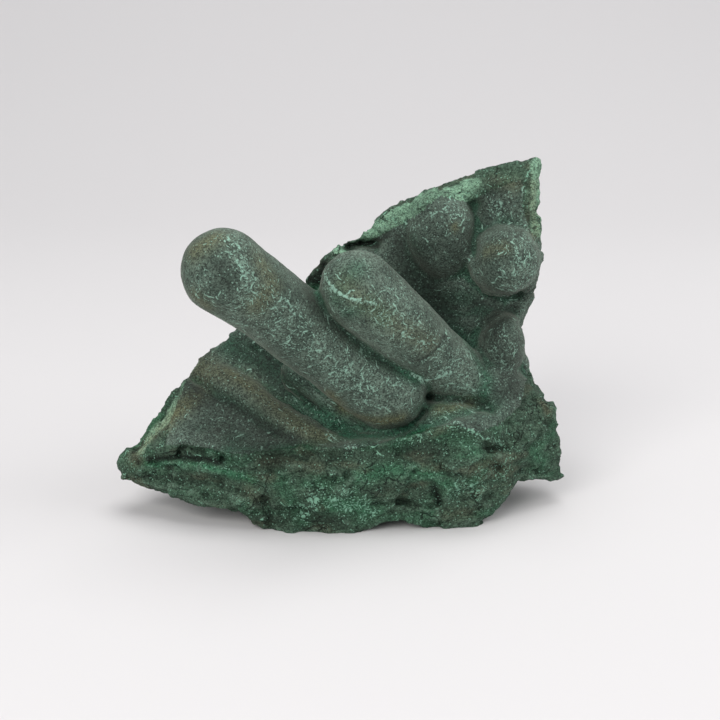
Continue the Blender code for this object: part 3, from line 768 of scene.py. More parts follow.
# Where each tint lies. The strongest dab of a tint is the one that shows.
DABS = {
    Tint.FRESH: (
        # light green fresh breaks: the top rim, the right rim and the left strip
        dab(2.6, 1, (0, 61), (4, 63), (8.5, 65.5), (12, 68), (16.5, 70.5)),
        dab(4.2, 1, (16.5, 70.5), (20.5, 72.5), (24.5, 73), (28, 74)),
        dab(2.3, 1, (43.6, 79.8), (43.3, 75.4), (43.2, 70.9), (43.5, 66.4), (44.1, 63)),
        dab(2.4, 0.8, (-34.1, 29.4), (-36.9, 25.8), (-39.8, 21.5), (-43.1, 16.9), (-45.3, 13.7)),
    ),
    Tint.EMERALD: (
        # emerald in the recesses and along the beds
        dab(2.4, 0.5, (-0.9, 49.3), (1.2, 53.9), (4.1, 56.7)),
        dab(2.2, 0.5, (1.8, 46.5), (7.2, 48.4), (9.9, 45.1)),
        dab(3, 0.9, (-24.5, 39), (-17.5, 35), (-11.5, 29.5), (-6, 24), (1, 18.5)),
        dab(1.6, 0.9, (-5.5, 52), (-3.5, 48), (0.5, 43), (5.5, 37.5), (11.5, 34), (17, 30.5)),
        dab(1.6, 1, (1, 18.5), (6.5, 17), (12, 17.5), (16.5, 20)),
        dab(1.8, 0.8, (24.5, 44.5), (29.5, 38), (33.5, 30.5), (32.5, 26.5)),
        dab(2, 0.6, (4.5, 7), (11.5, 9), (20, 7.5), (25.5, 4.5)),
        dab(2.6, 1, (-0.5, 17.1), (5.6, 16.1), (12.5, 16.4), (19.4, 18.6)),
        dab(2.6, 0.9, (-9.1, 27), (-5.1, 22.9), (-1.2, 19.3)),
        dab(3, 0.7, (21, 19.8), (25, 22.9), (29.6, 23.9), (34.1, 22.9)),
        dab(1.2, 0.8, (-44.5, 10.5), (-32.5, 10), (-20.5, 6.5)),
        dab(2, 0.8, (18, 23.5), (24, 25), (29, 23)),
        dab(2.2, 0.6, (16, 63), (17, 56), (21.5, 50), (29, 49.5)),
        dab(1.2, 0.8, (-48.5, 14.5), (-45.5, 18.5), (-42, 22)),
        dab(2.4, 0.5, (23, 17), (28.5, 16), (34, 11), (31.5, 6.5)),
        dab(2.6, 0.7, (-2.5, 0), (2, 0), (5.5, -1.5)),
        dab(2.4, 0.5, (-14, 6.5), (-9.5, -3.5)),
        dab(2.4, 0.5, (44.5, 13.5), (47, 10)),
        dab(1.6, 0.8, (-26, 14), (-16, 14), (-2.5, 15.5)),
        dab(1.6, 0.5, (-30, 29), (-20.5, 23), (-12, 17)),
    ),
    Tint.OCHRE: (
        # brown and olive stains
        dab(
            3.2, 0.75, (-33.5, 34), (-26.5, 32.5), (-21, 30.5), (-15.5, 25.5), (-9, 19.5),
            (-4, 17),
        ),
        dab(1.6, 1, (-25.5, 33), (-20, 28.5)),
        dab(2.8, 0.8, (-32, 61), (-28, 63.5)),
        dab(2.6, 0.6, (-17.5, 58), (-15, 53), (-18.5, 48)),
        dab(2, 0.6, (-32, 50), (-30, 48)),
        dab(1.8, 1, (-2.3, 27.2), (0.6, 23.9), (4.5, 21.5), (9.1, 20.5), (13.6, 21.2)),
        dab(1.6, 0.7, (22.3, 23.4), (25.5, 24.3), (29.5, 24.8)),
        dab(1.1, 1, (25.5, 66)),
        dab(1.8, 0.6, (32.5, 60.5), (36.5, 61.5)),
        dab(2.6, 0.4, (1, 53), (12.5, 43.5), (20.5, 39)),
        dab(2, 0.5, (34, 76.5), (38.5, 75.5)),
        dab(1.5, 0.7, (-18, 11), (-11.5, 11), (-5, 9.5)),
        dab(1.8, 0.5, (-21.5, 3.5), (-19, 1.5)),
        dab(1.6, 0.5, (24.5, -2.5), (30, -1.5)),
        dab(1.3, 0.9, (46, 25), (47.5, 23)),
        dab(1.2, 0.6, (22.5, 24.5), (25.5, 23.5)),
        # a khaki crust on the left strip and along the right rim
        dab(2.4, 1, (-31.9, 27.7), (-36.5, 23.9), (-40.5, 19.8), (-43.6, 16.1), (-47.2, 12.2)),
        dab(1.6, 0.7, (42.6, 75.4), (42.6, 69.8), (43.2, 64.2)),
    ),
    Tint.DARK: (
        # painted shade in the recesses, creases and notches, and under the overhangs
        dab(2.8, 0.6, (-26, 56.5), (-25, 54)),
        dab(5, 0.6, (20.6, 68.7), (21.7, 64.2), (24.9, 60.8), (28.4, 63)),
        dab(2.6, 0.7, (34, 52), (38, 50.5), (43, 52)),
        dab(3, 0.45, (34, 74), (37, 69), (38.5, 64)),
        dab(4, 0.5, (25.7, 51.2), (28.7, 48.2)),
        dab(3, 0.9, (33.2, 45.1), (34.6, 42.3), (34.7, 39.5)),
        dab(1.6, 1, (38.5, 47), (35.9, 46.5), (33.9, 44.4), (32.8, 40.9)),
        dab(6, 0.9, (16.7, 59.6), (19, 54.4), (22.4, 48.2)),
        dab(1.6, 1, (39.2, 47.5), (37, 45.1), (34.6, 41.9)),
        dab(2.6, 0.6, (33, 41.5), (36, 41)),
        dab(5, 0.8, (35, 37.2), (38, 33.9), (39, 29.4)),
        dab(4, 0.4, (-33.5, 33.5), (-26.5, 31), (-18.5, 27), (-9, 19.5)),
        dab(2.2, 0.3, (-27, 38), (-20.5, 37), (-13.5, 31), (-7.5, 25)),
        dab(5, 0.85, (-32.8, 27.7), (-28.5, 24.6), (-22.9, 21), (-16.1, 17.1)),
        dab(2.2, 0.95, (-34.1, 29.4), (-30.3, 26.7), (-24, 23.9), (-17.9, 20), (-10.2, 15.9)),
        dab(4, 0.45, (-31.6, 35.3), (-26.1, 32.5), (-19.4, 27.7), (-12.6, 22.2)),
        dab(3, 0.4, (-9.3, 13.2), (-0.1, 13.2), (9.1, 13.7), (16, 15.2)),
        dab(1.6, 0.7, (-3.5, 48), (0.5, 43), (5.5, 37.5), (11.5, 33.5)),
        dab(4.2, 0.85, (13, 63), (15.5, 56), (20.5, 49.5), (24.5, 45)),
        dab(2.6, 0.7, (29, 49.5), (36, 46.5)),
        dab(1.6, 1, (-7.5, 54.5), (-5, 54), (-3.5, 57.5)),
        dab(1.4, 1, (1.5, 62), (5, 62.5), (8.5, 61.5)),
        dab(2, 0.5, (30.5, 73), (33, 68.5)),
        dab(2.2, 0.7, (-34, 25.5), (-29, 24), (-23, 20), (-16.5, 15.5)),
        dab(0.9, 1, (-44, 11.5), (-37, 12), (-31, 11.5), (-27.5, 10.5)),
        dab(0.8, 0.9, (-17.5, 37), (-13, 32.5), (-9, 27.5), (-5, 24)),
        dab(0.9, 0.6, (33, 14), (35.5, 14), (37.5, 14)),
        dab(1.3, 1, (1.5, 61.2), (3.4, 62.2), (6, 62.3), (8.2, 62.6), (11, 64.5)),
        dab(1.2, 0.6, (19.5, 21.5), (20.5, 26)),
        dab(0.7, 0.8, (20.5, 26.5), (25, 26), (32, 25), (34, 23.5)),
        dab(3, 0.6, (13.5, 14), (23, 14)),
        dab(1.2, 0.2, (7.5, 4), (14, 3.5), (20.5, 3)),
        dab(0.9, 1, (22, 4), (22.5, 2.5), (23, 0.5)),
        dab(0.4, 0.9, (23.6, 41.4), (22.5, 38.6), (19.6, 36.2), (16, 34.6)),
        dab(4, 0.72, (-22.5, 38.8), (-17.6, 34.8), (-12.5, 29.4)),
        dab(5, 0.8, (-29.3, 19.8), (-23, 16.6), (-15, 13.2)),
        dab(3.6, 0.45, (-18.3, -3.1), (-9.4, -1.6), (-1.3, -3.6)),
        dab(3.4, 0.4, (26.3, 17.1), (30.8, 18.1), (35.4, 16.1)),
        dab(3, 0.5, (-7, 15.4), (1.1, 14.4)),
        dab(2.8, 0.75, (-6.2, 49.3), (-2.7, 45.1), (1.1, 41.2)),
        dab(4, 0.42, (21.7, 66.4), (23.1, 63), (25.6, 58)),
        dab(3, 0.35, (35.5, 60.3), (33.8, 56.7), (35.3, 53)),
        dab(2.4, 0.35, (-22.7, 32.5), (-17.7, 28.7), (-12.6, 22.9)),
    ),
    Tint.MINT: (
        # thick mint threads
        dab(1.5, 0.8, (-1.7, 16.9), (0.4, 16.1), (2.7, 14.7)),
        dab(2.6, 1, (-9.4, -1.6), (-5.2, 1.4), (-1.3, 2.1), (2.2, 0.4), (5.9, -1.6)),
        dab(1.8, 0.9, (25.8, 2.9), (29, 4.8), (31.8, 3.4)),
        dab(1.2, 0.7, (35.4, 16.1), (37.8, 14.4), (38.5, 11.2)),
        dab(2, 1, (36.8, 51.6), (40.2, 52.3), (42.4, 53.9)),
        dab(2.4, 0.9, (-22.5, 61), (-20, 54)),
        dab(1.8, 0.6, (-31, 52), (-29.5, 50)),
        dab(3.2, 0.7, (-22.5, 49.5), (-17.5, 47.5), (-11, 43.5)),
        dab(1.8, 0.7, (-16, 41), (-11, 40.5)),
        dab(4.5, 0.6, (-21, 49.8), (-17.5, 45.1), (-12.4, 40.5)),
        dab(4.5, 0.5, (-9, 38.8), (-4.1, 33.4), (1.1, 28.2)),
        dab(3, 0.95, (0, 30.6), (2.2, 27.7), (4, 25.3)),
        dab(4, 0.4, (6.8, 35.3), (11.8, 29.4), (15.9, 25.8)),
        dab(4, 0.55, (11.2, 49.8), (14.6, 44.2), (19.1, 38.8)),
        dab(4, 0.8, (22.5, 37.2), (26, 32.5), (28.6, 27.7)),
        dab(4, 0.95, (39.9, 63), (42.2, 58), (40.6, 53)),
        dab(2.2, 0.7, (36, 41.2), (37.9, 36.2)),
        dab(2.2, 0.8, (7, 48), (11.5, 44)),
        dab(2, 0.6, (17, 43.5), (22.5, 40)),
        dab(2.6, 0.7, (21.5, 69.5), (25.5, 70.5)),
        dab(2, 0.9, (34.8, 70.2), (37.1, 69.1)),
        dab(2.4, 0.9, (41.5, 59.5), (43, 55.5), (38.5, 52)),
        dab(2.4, 0.6, (35.5, 37), (38, 32.5)),
        dab(2, 0.9, (-2, 1), (2, 0.5), (5.5, -1.5)),
        dab(1.2, 0.4, (13, 15.5), (19.5, 18), (26.5, 20.5), (33.5, 16.5)),
        dab(3, 0.5, (30, 6.5), (37, 9)),
        dab(4.5, 0.85, (-12.3, 43.5), (-7.9, 38.8), (-2.3, 34.1)),
        dab(4.5, 1, (1.1, 31.7), (5, 27)),
        dab(2.6, 1, (42.8, 60.3), (43.2, 56.7), (41.9, 53.5)),
        dab(3.6, 0.8, (-18.9, 51.2), (-15.2, 47)),
    ),
    Tint.VEIN: (
        # single pale veins
        dab(0.75, 0.85, (-3.5, 56), (-3, 54), (-1, 51.5), (1.5, 50), (4.5, 49), (8, 48.5)),
        dab(0.9, 0.7, (-1, 58), (1, 59.5)),
        dab(1, 0.9, (-23, 58), (-21.5, 56.5), (-20.5, 54)),
        dab(0.7, 0.7, (-19.5, 56.5), (-18.5, 54), (-18, 52)),
        dab(0.8, 0.8, (-13, 50), (-11.5, 49), (-10, 46)),
        dab(0.7, 0.6, (-11.5, 45), (-10.5, 42.5)),
        dab(0.9, 0.9, (16.5, 32), (19, 30.5), (22, 31), (25, 32.5)),
        dab(0.8, 0.5, (16, 45), (18, 43)),
        dab(0.9, 0.7, (28.5, 32.5), (29, 29), (28.5, 27.5)),
        dab(0.6, 0.25, (-36.5, 27), (-37.5, 24), (-39, 20), (-41.5, 17), (-43.5, 14.5)),
        dab(0.6, 0.6, (-46, 9), (-40.5, 10.5), (-32.5, 10), (-23, 7.5), (-18.5, 6)),
        dab(0.8, 0.6, (13, 16), (16.5, 17), (19.5, 18), (23, 19.5), (26.5, 20.5)),
        dab(0.9, 0.7, (26.5, 20.5), (30.5, 18), (33.5, 16.5), (36.5, 15)),
        dab(0.7, 0.5, (-29, 13), (-23, 12), (-16, 13), (-9.5, 14), (-2.5, 14.5)),
        dab(0.7, 0.7, (41.5, 78.5), (40, 74.5), (40, 71), (41, 67), (41.5, 64.5)),
        dab(1.3, 0.7, (39, 52.5), (42.5, 54), (44, 56.5)),
        dab(1.1, 0.6, (27.5, 16), (30, 13.5)),
    ),
}


@dataclass
class Specimen:
    """The whole stone: its forms, its marks, and how its skin is made from them."""

    name: str = "malachite_stone"
    node: str = "malachite"
    seed: int = 4
    sight: Sight = field(default_factory=Sight)
    rough_voxel: float = 0.6
    fine_voxel: float = 0.42
    triangles: int = 196_000
    lining_passes: int = 13
    rock_passes: int = 2
    lining_blend: float = 1.2
    facing_blend: float = 4.0
    lining_back: float = 20.0
    finger_skin: float = 1.5
    hollow_passes: int = 40

    fingers: tuple[Finger, ...] = FINGERS
    ribs: tuple[Finger, ...] = RIBS
    lumps: tuple[Lump, ...] = LUMPS
    blocks: tuple[Block, ...] = BLOCKS
    lining: tuple[Mark, ...] = LINING
    grooves: tuple[Groove, ...] = GROOVES
    facets: tuple[Facet, ...] = (
        Facet((3.4, -18.1, 59.2), (-0.1, -0.8, 0.6), 6.5),
        Facet((4.6, -14.4, 62.3), (0.08, -0.2, 0.975), 6.5),
    )
    chips: tuple[Chips, ...] = (Chips(7.5, 0.8, 1.7), Chips(3.6, 0.28, 0.8, (1.3, 1.3, 0.8)))
    beds: Beds = field(default_factory=Beds)
    small_chips: tuple[Chips, ...] = (
        Chips(2.0, 0.12, 0.34, (1.5, 1.5, 0.7)),
        Chips(1.1, 0.05, 0.12),
    )
    rock_ripple: Ripple = Ripple(1.4, 0.035, 3)
    lining_ripples: tuple[Ripple, ...] = (Ripple(7.5, 0.28, 2), Ripple(1.5, 0.035, 2))
    dabs: dict[Tint, tuple[Dab, ...]] = field(default_factory=lambda: DABS)

    def lining_share(self, skin: Skin) -> np.ndarray:
        """1 at the skin's points on the cavity lining, 0 on broken rock."""
        points = skin.points()
        facing = -np.sum(self.sight.directions(points) * skin.normals(), axis=1)
        within = depth_inside(self.sight.marks(points), self.lining) / self.lining_blend + 0.5
        turned = rise(facing * self.facing_blend + 0.5)
        front = rise(within) * turned * (points[:, 1] < self.lining_back)
        for finger in self.fingers:
            front = np.maximum(front, rise(self.finger_skin - finger.height_over(points)))
        return front

    def fused_forms(self) -> Skin:
        """The forms, fused into one skin with softened joins."""
        bm = bmesh.new()
        for form in self.blocks + self.fingers + self.ribs + self.lumps:
            form.add_to(bm)
        skin = Skin.from_bmesh(bm, self.name)
        skin.fuse(self.rough_voxel)
        skin.smooth(self.rock_passes)
        skin.smooth(self.lining_passes, self.lining_share(skin))
        return skin

    def press(self, skin: Skin) -> None:
        """Presses in the grooves, levels the facets and breaks the rock's larger chips."""
        points, normals = skin.points(), skin.normals()
        rock = 1.0 - self.lining_share(skin)
        relief = self.beds.relief(points)
        for chips in self.chips:
            relief += chips.relief(points)
        inward = self.sight.directions(points)
        depth = sum(mark.push(skin, self.sight, points) for mark in self.grooves)
        moved = points + inward * depth[:, None]
        for facet in self.facets:
            moved = facet.level(moved)
        skin.move(moved + normals * (rock * relief)[:, None])

    def grain(self, skin: Skin) -> None:
        """Gives the rock its small chips and the lining its soft unevenness."""
        points, normals = skin.points(), skin.normals()
        lining = self.lining_share(skin)
        rough = self.rock_ripple.relief(points)
        for chips in self.small_chips:
            rough += chips.relief(points)
        soft = sum(ripple.relief(points) for ripple in self.lining_ripples)
        skin.move(points + normals * ((1.0 - lining) * rough + lining * soft)[:, None])

    def build(self) -> Skin:
        """Makes the specimen's finished skin."""
        noise.seed_set(self.seed)
        skin = self.fused_forms()
        self.press(skin)
        skin.fuse(self.fine_voxel)
        self.grain(skin)
        LOG.info("%s: %d faces before thinning", self.name, len(skin.obj.data.polygons))
        skin.thin(self.triangles)
        skin.cut_flat()
        LOG.info("%s: %d triangles", self.name, len(skin.obj.data.polygons))
        return skin

    def paint(self, skin: Skin) -> None:
        """Stores what each patch of stone is and where shade is painted on it, for the finishes to
        read.
        """
        points, normals = skin.points(), skin.normals()
        for tint in Tint:
            share = np.zeros(len(points))
            for patch in self.dabs[tint]:
                share = np.maximum(share, patch.share(skin, self.sight, points))
            skin.store(tint.value, share)
        even = Skin(skin.obj.copy())
        bpy.context.scene.collection.objects.link(even.obj)
        even.smooth(self.hollow_passes)
        skin.store(HOLLOW, np.sum((even.points() - points) * normals, axis=1))
        bpy.data.objects.remove(even.obj)

    def dress(self, skin: Skin, finishes: Sequence[bpy.types.Material]) -> None:
        """Gives the lining the first finish and the broken rock the second."""
        mesh = skin.obj.data
        mesh.shade_smooth()
        for finish in finishes:
            mesh.materials.append(finish)
        corner_share = self.lining_share(skin)
        for face in mesh.polygons:
            lined = np.mean(corner_share[list(face.vertices)]) > 0.5
            face.material_index = 0 if lined else 1
        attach(skin.obj, "root")
        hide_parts(self.node)


# The finishes

Value = bpy.types.NodeSocket | float | Colour
# A band is a low and a high, and a ramp adds the values that it runs between.
Band = tuple[float, float]
Ramp = tuple[float, float, Band]


@dataclass
class Graph:
    """A node tree being wired: each method adds a node and gives its result."""

    tree: bpy.types.NodeTree

    def add(self, kind: str, sockets: dict[str | int, Value], **settings: object) -> bpy.types.Node:
        """Adds a node.

        Args:
            kind: The node's type.
            sockets: What each input holds or is fed by.
            settings: The node's own properties.

        Returns:
            The node.
        """
        node = self.tree.nodes.new(kind)
        for name, value in settings.items():
            setattr(node, name, value)
        for name, value in sockets.items():
            self.feed(node.inputs[name], value)
        return node

    def feed(self, socket: bpy.types.NodeSocket, value: Value) -> None:
        """Links the socket to another, or sets what it holds."""
        if isinstance(value, bpy.types.NodeSocket):
            self.tree.links.new(value, socket)
        elif isinstance(value, tuple) and socket.type == "RGBA":
            socket.default_value = (*value, 1.0)
        else:
            socket.default_value = value

    def spot(self, stretch: Place = (1.0, 1.0, 1.0), shift: Place = (0.0, 0.0, 0.0)) -> Value:
        """The place on the stone in millimetres, stretched and shifted for a pattern."""
        coordinates = self.add("ShaderNodeTexCoord", {}).outputs["Object"]
        scale = tuple(1.0 / (MM * part) for part in stretch)
        sockets = {"Vector": coordinates, "Location": shift, "Scale": scale}
        return self.add("ShaderNodeMapping", sockets).outputs["Vector"]

    def math(self, operation: str, a: Value, b: Value = 0.0, c: Value = 0.0) -> Value:
        """A sum on numbers."""
        return self.add("ShaderNodeMath", {0: a, 1: b, 2: c}, operation=operation).outputs[0]

    def between(self, value: Value, low: float, high: float, to: tuple = (0, 1)) -> Value:
        """A smooth rise from the first of `to` at low to the second at high."""
        sockets = {"Value": value, 1: low, 2: high, 3: to[0], 4: to[1]}
        node = self.add("ShaderNodeMapRange", sockets, interpolation_type="SMOOTHSTEP")
        return node.outputs["Result"]

    def cloud(self, spot: Value, size: float, detail: float = 2.0, **more: float) -> Value:
        """Soft noise from 0 to 1, with features of this size in millimetres."""
        sockets = {"Vector": spot, "Scale": 1.0 / size, "Detail": detail}
        sockets.update({name.title(): value for name, value in more.items()})
        return self.add("ShaderNodeTexNoise", sockets).outputs[0]

    def vector(self, operation: str, a: Value, b: Value | None = None, c: Value | None = None) -> Value:
        """A sum on vectors, which puts out a vector or a number."""
        given = {at: value for at, value in enumerate((a, b, c)) if value is not None}
        node = self.add("ShaderNodeVectorMath", given, operation=operation)
        return node.outputs["Value" if operation in ("DOT_PRODUCT", "LENGTH") else "Vector"]

    def cells(self, spot: Value, size: float) -> tuple[Value, Value, Value]:
        """Cells of this size: the distance to each one's middle, its own colour, and the middle."""
        node = self.add("ShaderNodeTexVoronoi", {"Vector": spot, "Scale": 1.0 / size})
        return node.outputs["Distance"], node.outputs["Color"], node.outputs["Position"]

    def blend(self, share: Value, below: Value, above: Value, kind: str = "MIX") -> Value:
        """One colour laid over another by a share."""
        sockets = {0: share, 6: below, 7: above}
        node = self.add("ShaderNodeMix", sockets, data_type="RGBA", blend_type=kind)
        return node.outputs[2]

    def dimmed(self, colour: Value, share: Value) -> Value:
        """A colour made lighter or darker by a share."""
        grey = self.add("ShaderNodeCombineColor", {0: share, 1: share, 2: share}).outputs[0]
        return self.blend(1.0, colour, grey, "MULTIPLY")

    def stored(self, name: str) -> Value:
        """A number that the mesh keeps at each point."""
        return self.add("ShaderNodeAttribute", {}, attribute_name=name).outputs["Fac"]

    def veined(self, name: str, crumb: float = 0.6, wear: float = 1.4) -> Value:
        """A line that the mesh keeps, with edges and gaps worn in crumbs of this size."""
        crumbs = self.cloud(self.spot(), crumb)
        worn = self.math("MULTIPLY_ADD", crumbs, wear, self.stored(name))
        return self.between(worn, 1.30, 1.62)

    def bumped(self, height: Value, deep: float, strength: float) -> Value:
        """The way the surface faces over a height this many millimetres deep."""
        sockets = {"Height": height, "Distance": deep * MM, "Strength": strength}
        return self.add("ShaderNodeBump", sockets).outputs[0]


def new_group(name: str, inputs: dict[str, float], outputs: Sequence[str]) -> tuple:
    """Starts a node group of numbers.

    Args:
        name: The group's name.
        inputs: Each input's name and first value.
        outputs: Each output's name.

    Returns:
        The group, a Graph on it, its input node and its output node.
    """
    tree = bpy.data.node_groups.new(name, "ShaderNodeTree")
    for socket, value in inputs.items():
        made = tree.interface.new_socket(socket, in_out="INPUT", socket_type="NodeSocketFloat")
        made.default_value = value
    for socket in outputs:
        tree.interface.new_socket(socket, in_out="OUTPUT", socket_type="NodeSocketFloat")
    return tree, Graph(tree), tree.nodes.new("NodeGroupInput"), tree.nodes.new("NodeGroupOutput")


def new_material(name: str, held: dict[str, Value]) -> tuple:
    """Starts a material.

    Args:
        name: The material's name.
        held: What the shader's inputs hold all over.

    Returns:
        The material, a Graph on it and its shader.
    """
    material = bpy.data.materials.new(name)
    material.use_nodes = True
    graph = Graph(material.node_tree)
    shader = material.node_tree.nodes["Principled BSDF"]
    for socket, value in held.items():
        graph.feed(shader.inputs[socket], value)
    return material, graph, shader


@dataclass(frozen=True)
class Sugar:
    """The fine crystalline grain that every face of the stone has."""

    name: str = "sugar_grain"
    size: float = 0.28
    clump: float = 1.9
    clumped: Ramp = (0.38, 0.62, (0.2, 1.0))
    rarest: float = 0.965
    spread: float = 0.42
    edge: float = 12.0

    def group(self) -> bpy.types.NodeTree:
        """Takes how thickly bright grains lie; puts out each grain's shade, brightness and height."""
        outputs = ("Shade", "Bright", "Height")
        tree, graph, given, out = new_group(self.name, {"Density": 0.2}, outputs)
        distance, colour, _ = graph.cells(graph.spot(), self.size)
        parts = graph.add("ShaderNodeSeparateColor", {"Color": colour}).outputs
        cloud = graph.cloud(graph.spot(), self.clump, 3.0)
        clump = graph.between(cloud, *self.clumped)
        share = graph.math("MULTIPLY", given.outputs["Density"], clump)
        low = graph.math("MULTIPLY_ADD", share, -self.spread, self.rarest)
        bright = graph.math("MULTIPLY", graph.math("SUBTRACT", parts[1], low), self.edge)
        dome = graph.math("SUBTRACT", 1.0, distance)
        graph.feed(out.inputs["Shade"], parts[0])
        graph.feed(out.inputs["Bright"], graph.between(bright, 0.0, 1.0))
        graph.feed(out.inputs["Height"], graph.math("MULTIPLY", dome, parts[2]))
        return tree


@dataclass(frozen=True)
class Streaks:
    """Pale mint threads: thin discs of late growth, cut through by the surface."""

    name: str = "mint_threads"
    spacing: float = 1.9
    reach: float = 1.6
    thickness: float = 0.19
    bend: float = 1.9
    bend_size: float = 2.1
    crumb: float = 0.8
    worn: Ramp = (0.36, 0.58, (0.15, 1.0))
    rim: Ramp = (0.25, 1.1, (1.0, 0.0))
    small_share: float = 0.5
    small_size: float = 0.5
    small_shift: Place = (31.0, 7.0, 3.0)

    def group(self) -> bpy.types.NodeTree:
        """Takes how thickly they lie, and puts out how much of each spot they cover."""
        tree, graph, given, out = new_group(self.name, {"Density": 0.3}, ("Cover",))
        density = given.outputs["Density"]
        large = self.layer(graph, density, 1.0, (0.0, 0.0, 0.0))
        fewer = graph.math("MULTIPLY", density, self.small_share)
        small = self.layer(graph, fewer, self.small_size, self.small_shift)
        crumbs = graph.cloud(graph.spot(), self.crumb, 3.0)
        worn = graph.between(crumbs, *self.worn)
        threads = graph.math("MULTIPLY", graph.math("MAXIMUM", large, small), worn)
        graph.feed(out.inputs["Cover"], threads)
        return tree

    def layer(self, graph: Graph, density: Value, size: float, shift: Place) -> Value:
        """The threads of one size.

        Args:
            graph: The group being wired.
            density: The share of the discs that is there.
            size: How large these are, beside the first size.
            shift: Where the pattern starts.

        Returns:
            How much of each spot they cover.
        """
        spot = graph.spot(shift=shift)
        waves = graph.add("ShaderNodeTexNoise", {"Vector": spot, "Scale": 1.0 / self.bend_size})
        sway = graph.vector("MULTIPLY_ADD", waves.outputs[1], (self.bend,) * 3, spot)
        _, colour, middle = graph.cells(sway, self.spacing * size)
        away = graph.vector("SUBTRACT", sway, middle)
        axis = graph.vector("NORMALIZE", graph.vector("SUBTRACT", colour, (0.5, 0.5, 0.5)))
        across = graph.vector("DOT_PRODUCT", away, axis)
        out = graph.vector("LENGTH", away)
        squares = [
            graph.math("POWER", graph.math("DIVIDE", part, span * size), 2.0)
            for part, span in ((graph.math("ABSOLUTE", across), self.thickness), (out, self.reach))
        ]
        body = graph.between(graph.math("ADD", *squares), *self.rim)
        pick = graph.add("ShaderNodeTexWhiteNoise", {"Vector": middle}).outputs["Value"]
        return graph.math("MULTIPLY", body, graph.math("LESS_THAN", pick, density))


@dataclass(frozen=True)
class Finish:
    """What both surfaces of the stone have: crystalline grains, and mint threads between them."""

    sugar: bpy.types.NodeTree
    streaks: bpy.types.NodeTree
    grain_rise: float = 0.7
    grain_least: float = 0.10
    grain_tones: Band = (0.4, 1.6)
    grain_pale: float = 0.65

    def grown(self, graph: Graph, colour: Value, thick: Value) -> tuple[Value, Value, Value]:
        """Lays the grains over a colour.

        Args:
            graph: The material being wired.
            colour: What lies under the grains.
            thick: How thickly the late growth lies.

        Returns:
            The grained colour, the share that is pale, and the grains' height.
        """
        density = graph.math("MULTIPLY_ADD", thick, self.grain_rise, self.grain_least)
        grain = graph.add("ShaderNodeGroup", {"Density": density}, node_tree=self.sugar).outputs
        cover = graph.add("ShaderNodeGroup", {"Density": thick}, node_tree=self.streaks).outputs[0]
        tones = graph.between(grain["Shade"], 0.0, 1.0, self.grain_tones)
        colour = graph.dimmed(colour, tones)
        bright = graph.math("MULTIPLY", grain["Bright"], self.grain_pale)
        return colour, graph.math("MAXIMUM", cover, bright), grain["Height"]


@dataclass(frozen=True)
class LiningFinish(Finish):
    """Velvety grey-green growth skin, emerald in its recesses, with painted shade where the dark dabs
    lie.
    """

    deep: Colour = (0.033, 0.054, 0.041)
    plain: Colour = (0.084, 0.122, 0.095)
    emerald: Colour = (0.013, 0.068, 0.037)
    ochre: Colour = (0.086, 0.092, 0.047)
    # painted shade, laid on where the dark dabs lie
    shade: Colour = (0.010, 0.017, 0.012)
    mint: Colour = (0.230, 0.390, 0.305)
    velvet: Colour = (0.80, 0.85, 0.70)
    roughness: float = 0.75
    sheen: float = 0.14
    specular: float = 0.25
    relief: float = 0.10
    bump: float = 0.7
    mottle_size: float = 3.0
    mottle_share: float = 0.55
    broad_size: float = 13.0
    broad_share: float = 0.45
    tone_band: Band = (0.34, 0.64)
    hollow_green: Ramp = (0.0, 0.35, (0.0, 0.7))
    uneven: Ramp = (0.30, 0.60, (0.78, 1.0))
    unlit: Ramp = (0.2, 1.0, (1.0, 0.4))
    stray_threads: Ramp = (0.44, 0.62, (0.0, 0.09))
    mint_threads: float = 0.62
    least_threads: float = 0.02

    def build(self) -> bpy.types.Material:
        """Makes the material."""
        held = {
            "Roughness": self.roughness,
            "Sheen Weight": self.sheen,
            "Sheen Tint": self.velvet,
            "Specular IOR Level": self.specular,
        }
        material, graph, shader = new_material("velvet_lining", held)
        spot = graph.spot()
        mottle = graph.cloud(spot, self.mottle_size, 4.0, roughness=0.62)
        broad = graph.cloud(spot, self.broad_size)
        tone = graph.math("MULTIPLY", broad, self.broad_share)
        tone = graph.math("MULTIPLY_ADD", mottle, self.mottle_share, tone)
        colour = graph.blend(graph.between(tone, *self.tone_band), self.deep, self.plain)
        hollow = graph.between(graph.stored(HOLLOW), *self.hollow_green)
        green = graph.math("MAXIMUM", graph.stored(Tint.EMERALD.value), hollow)
        uneven = graph.between(mottle, *self.uneven)
        # emerald and ochre stains, then painted shade from the dark dabs
        for share, paint in (
            (green, self.emerald),
            (graph.stored(Tint.OCHRE.value), self.ochre),
            (graph.stored(Tint.DARK.value), self.shade),
        ):
            colour = graph.blend(graph.math("MULTIPLY", share, uneven), colour, paint)
        # fewer pale grains and threads show through the painted shade
        clear = graph.between(graph.stored(Tint.DARK.value), *self.unlit)
        thick = graph.stored(Tint.MINT.value)
        thick = graph.math("MULTIPLY_ADD", thick, self.mint_threads, self.least_threads)
        thick = graph.math("ADD", thick, graph.between(broad, *self.stray_threads))
        colour, pale, height = self.grown(graph, colour, thick)
        pale = graph.math("MAXIMUM", pale, graph.veined(Tint.VEIN.value))
        pale = graph.math("MULTIPLY", pale, clear)
        colour = graph.blend(pale, colour, self.mint)
        graph.feed(shader.inputs["Base Color"], colour)
        height = graph.math("ADD", height, pale)
        graph.feed(shader.inputs["Normal"], graph.bumped(height, self.relief, self.bump))
        return material


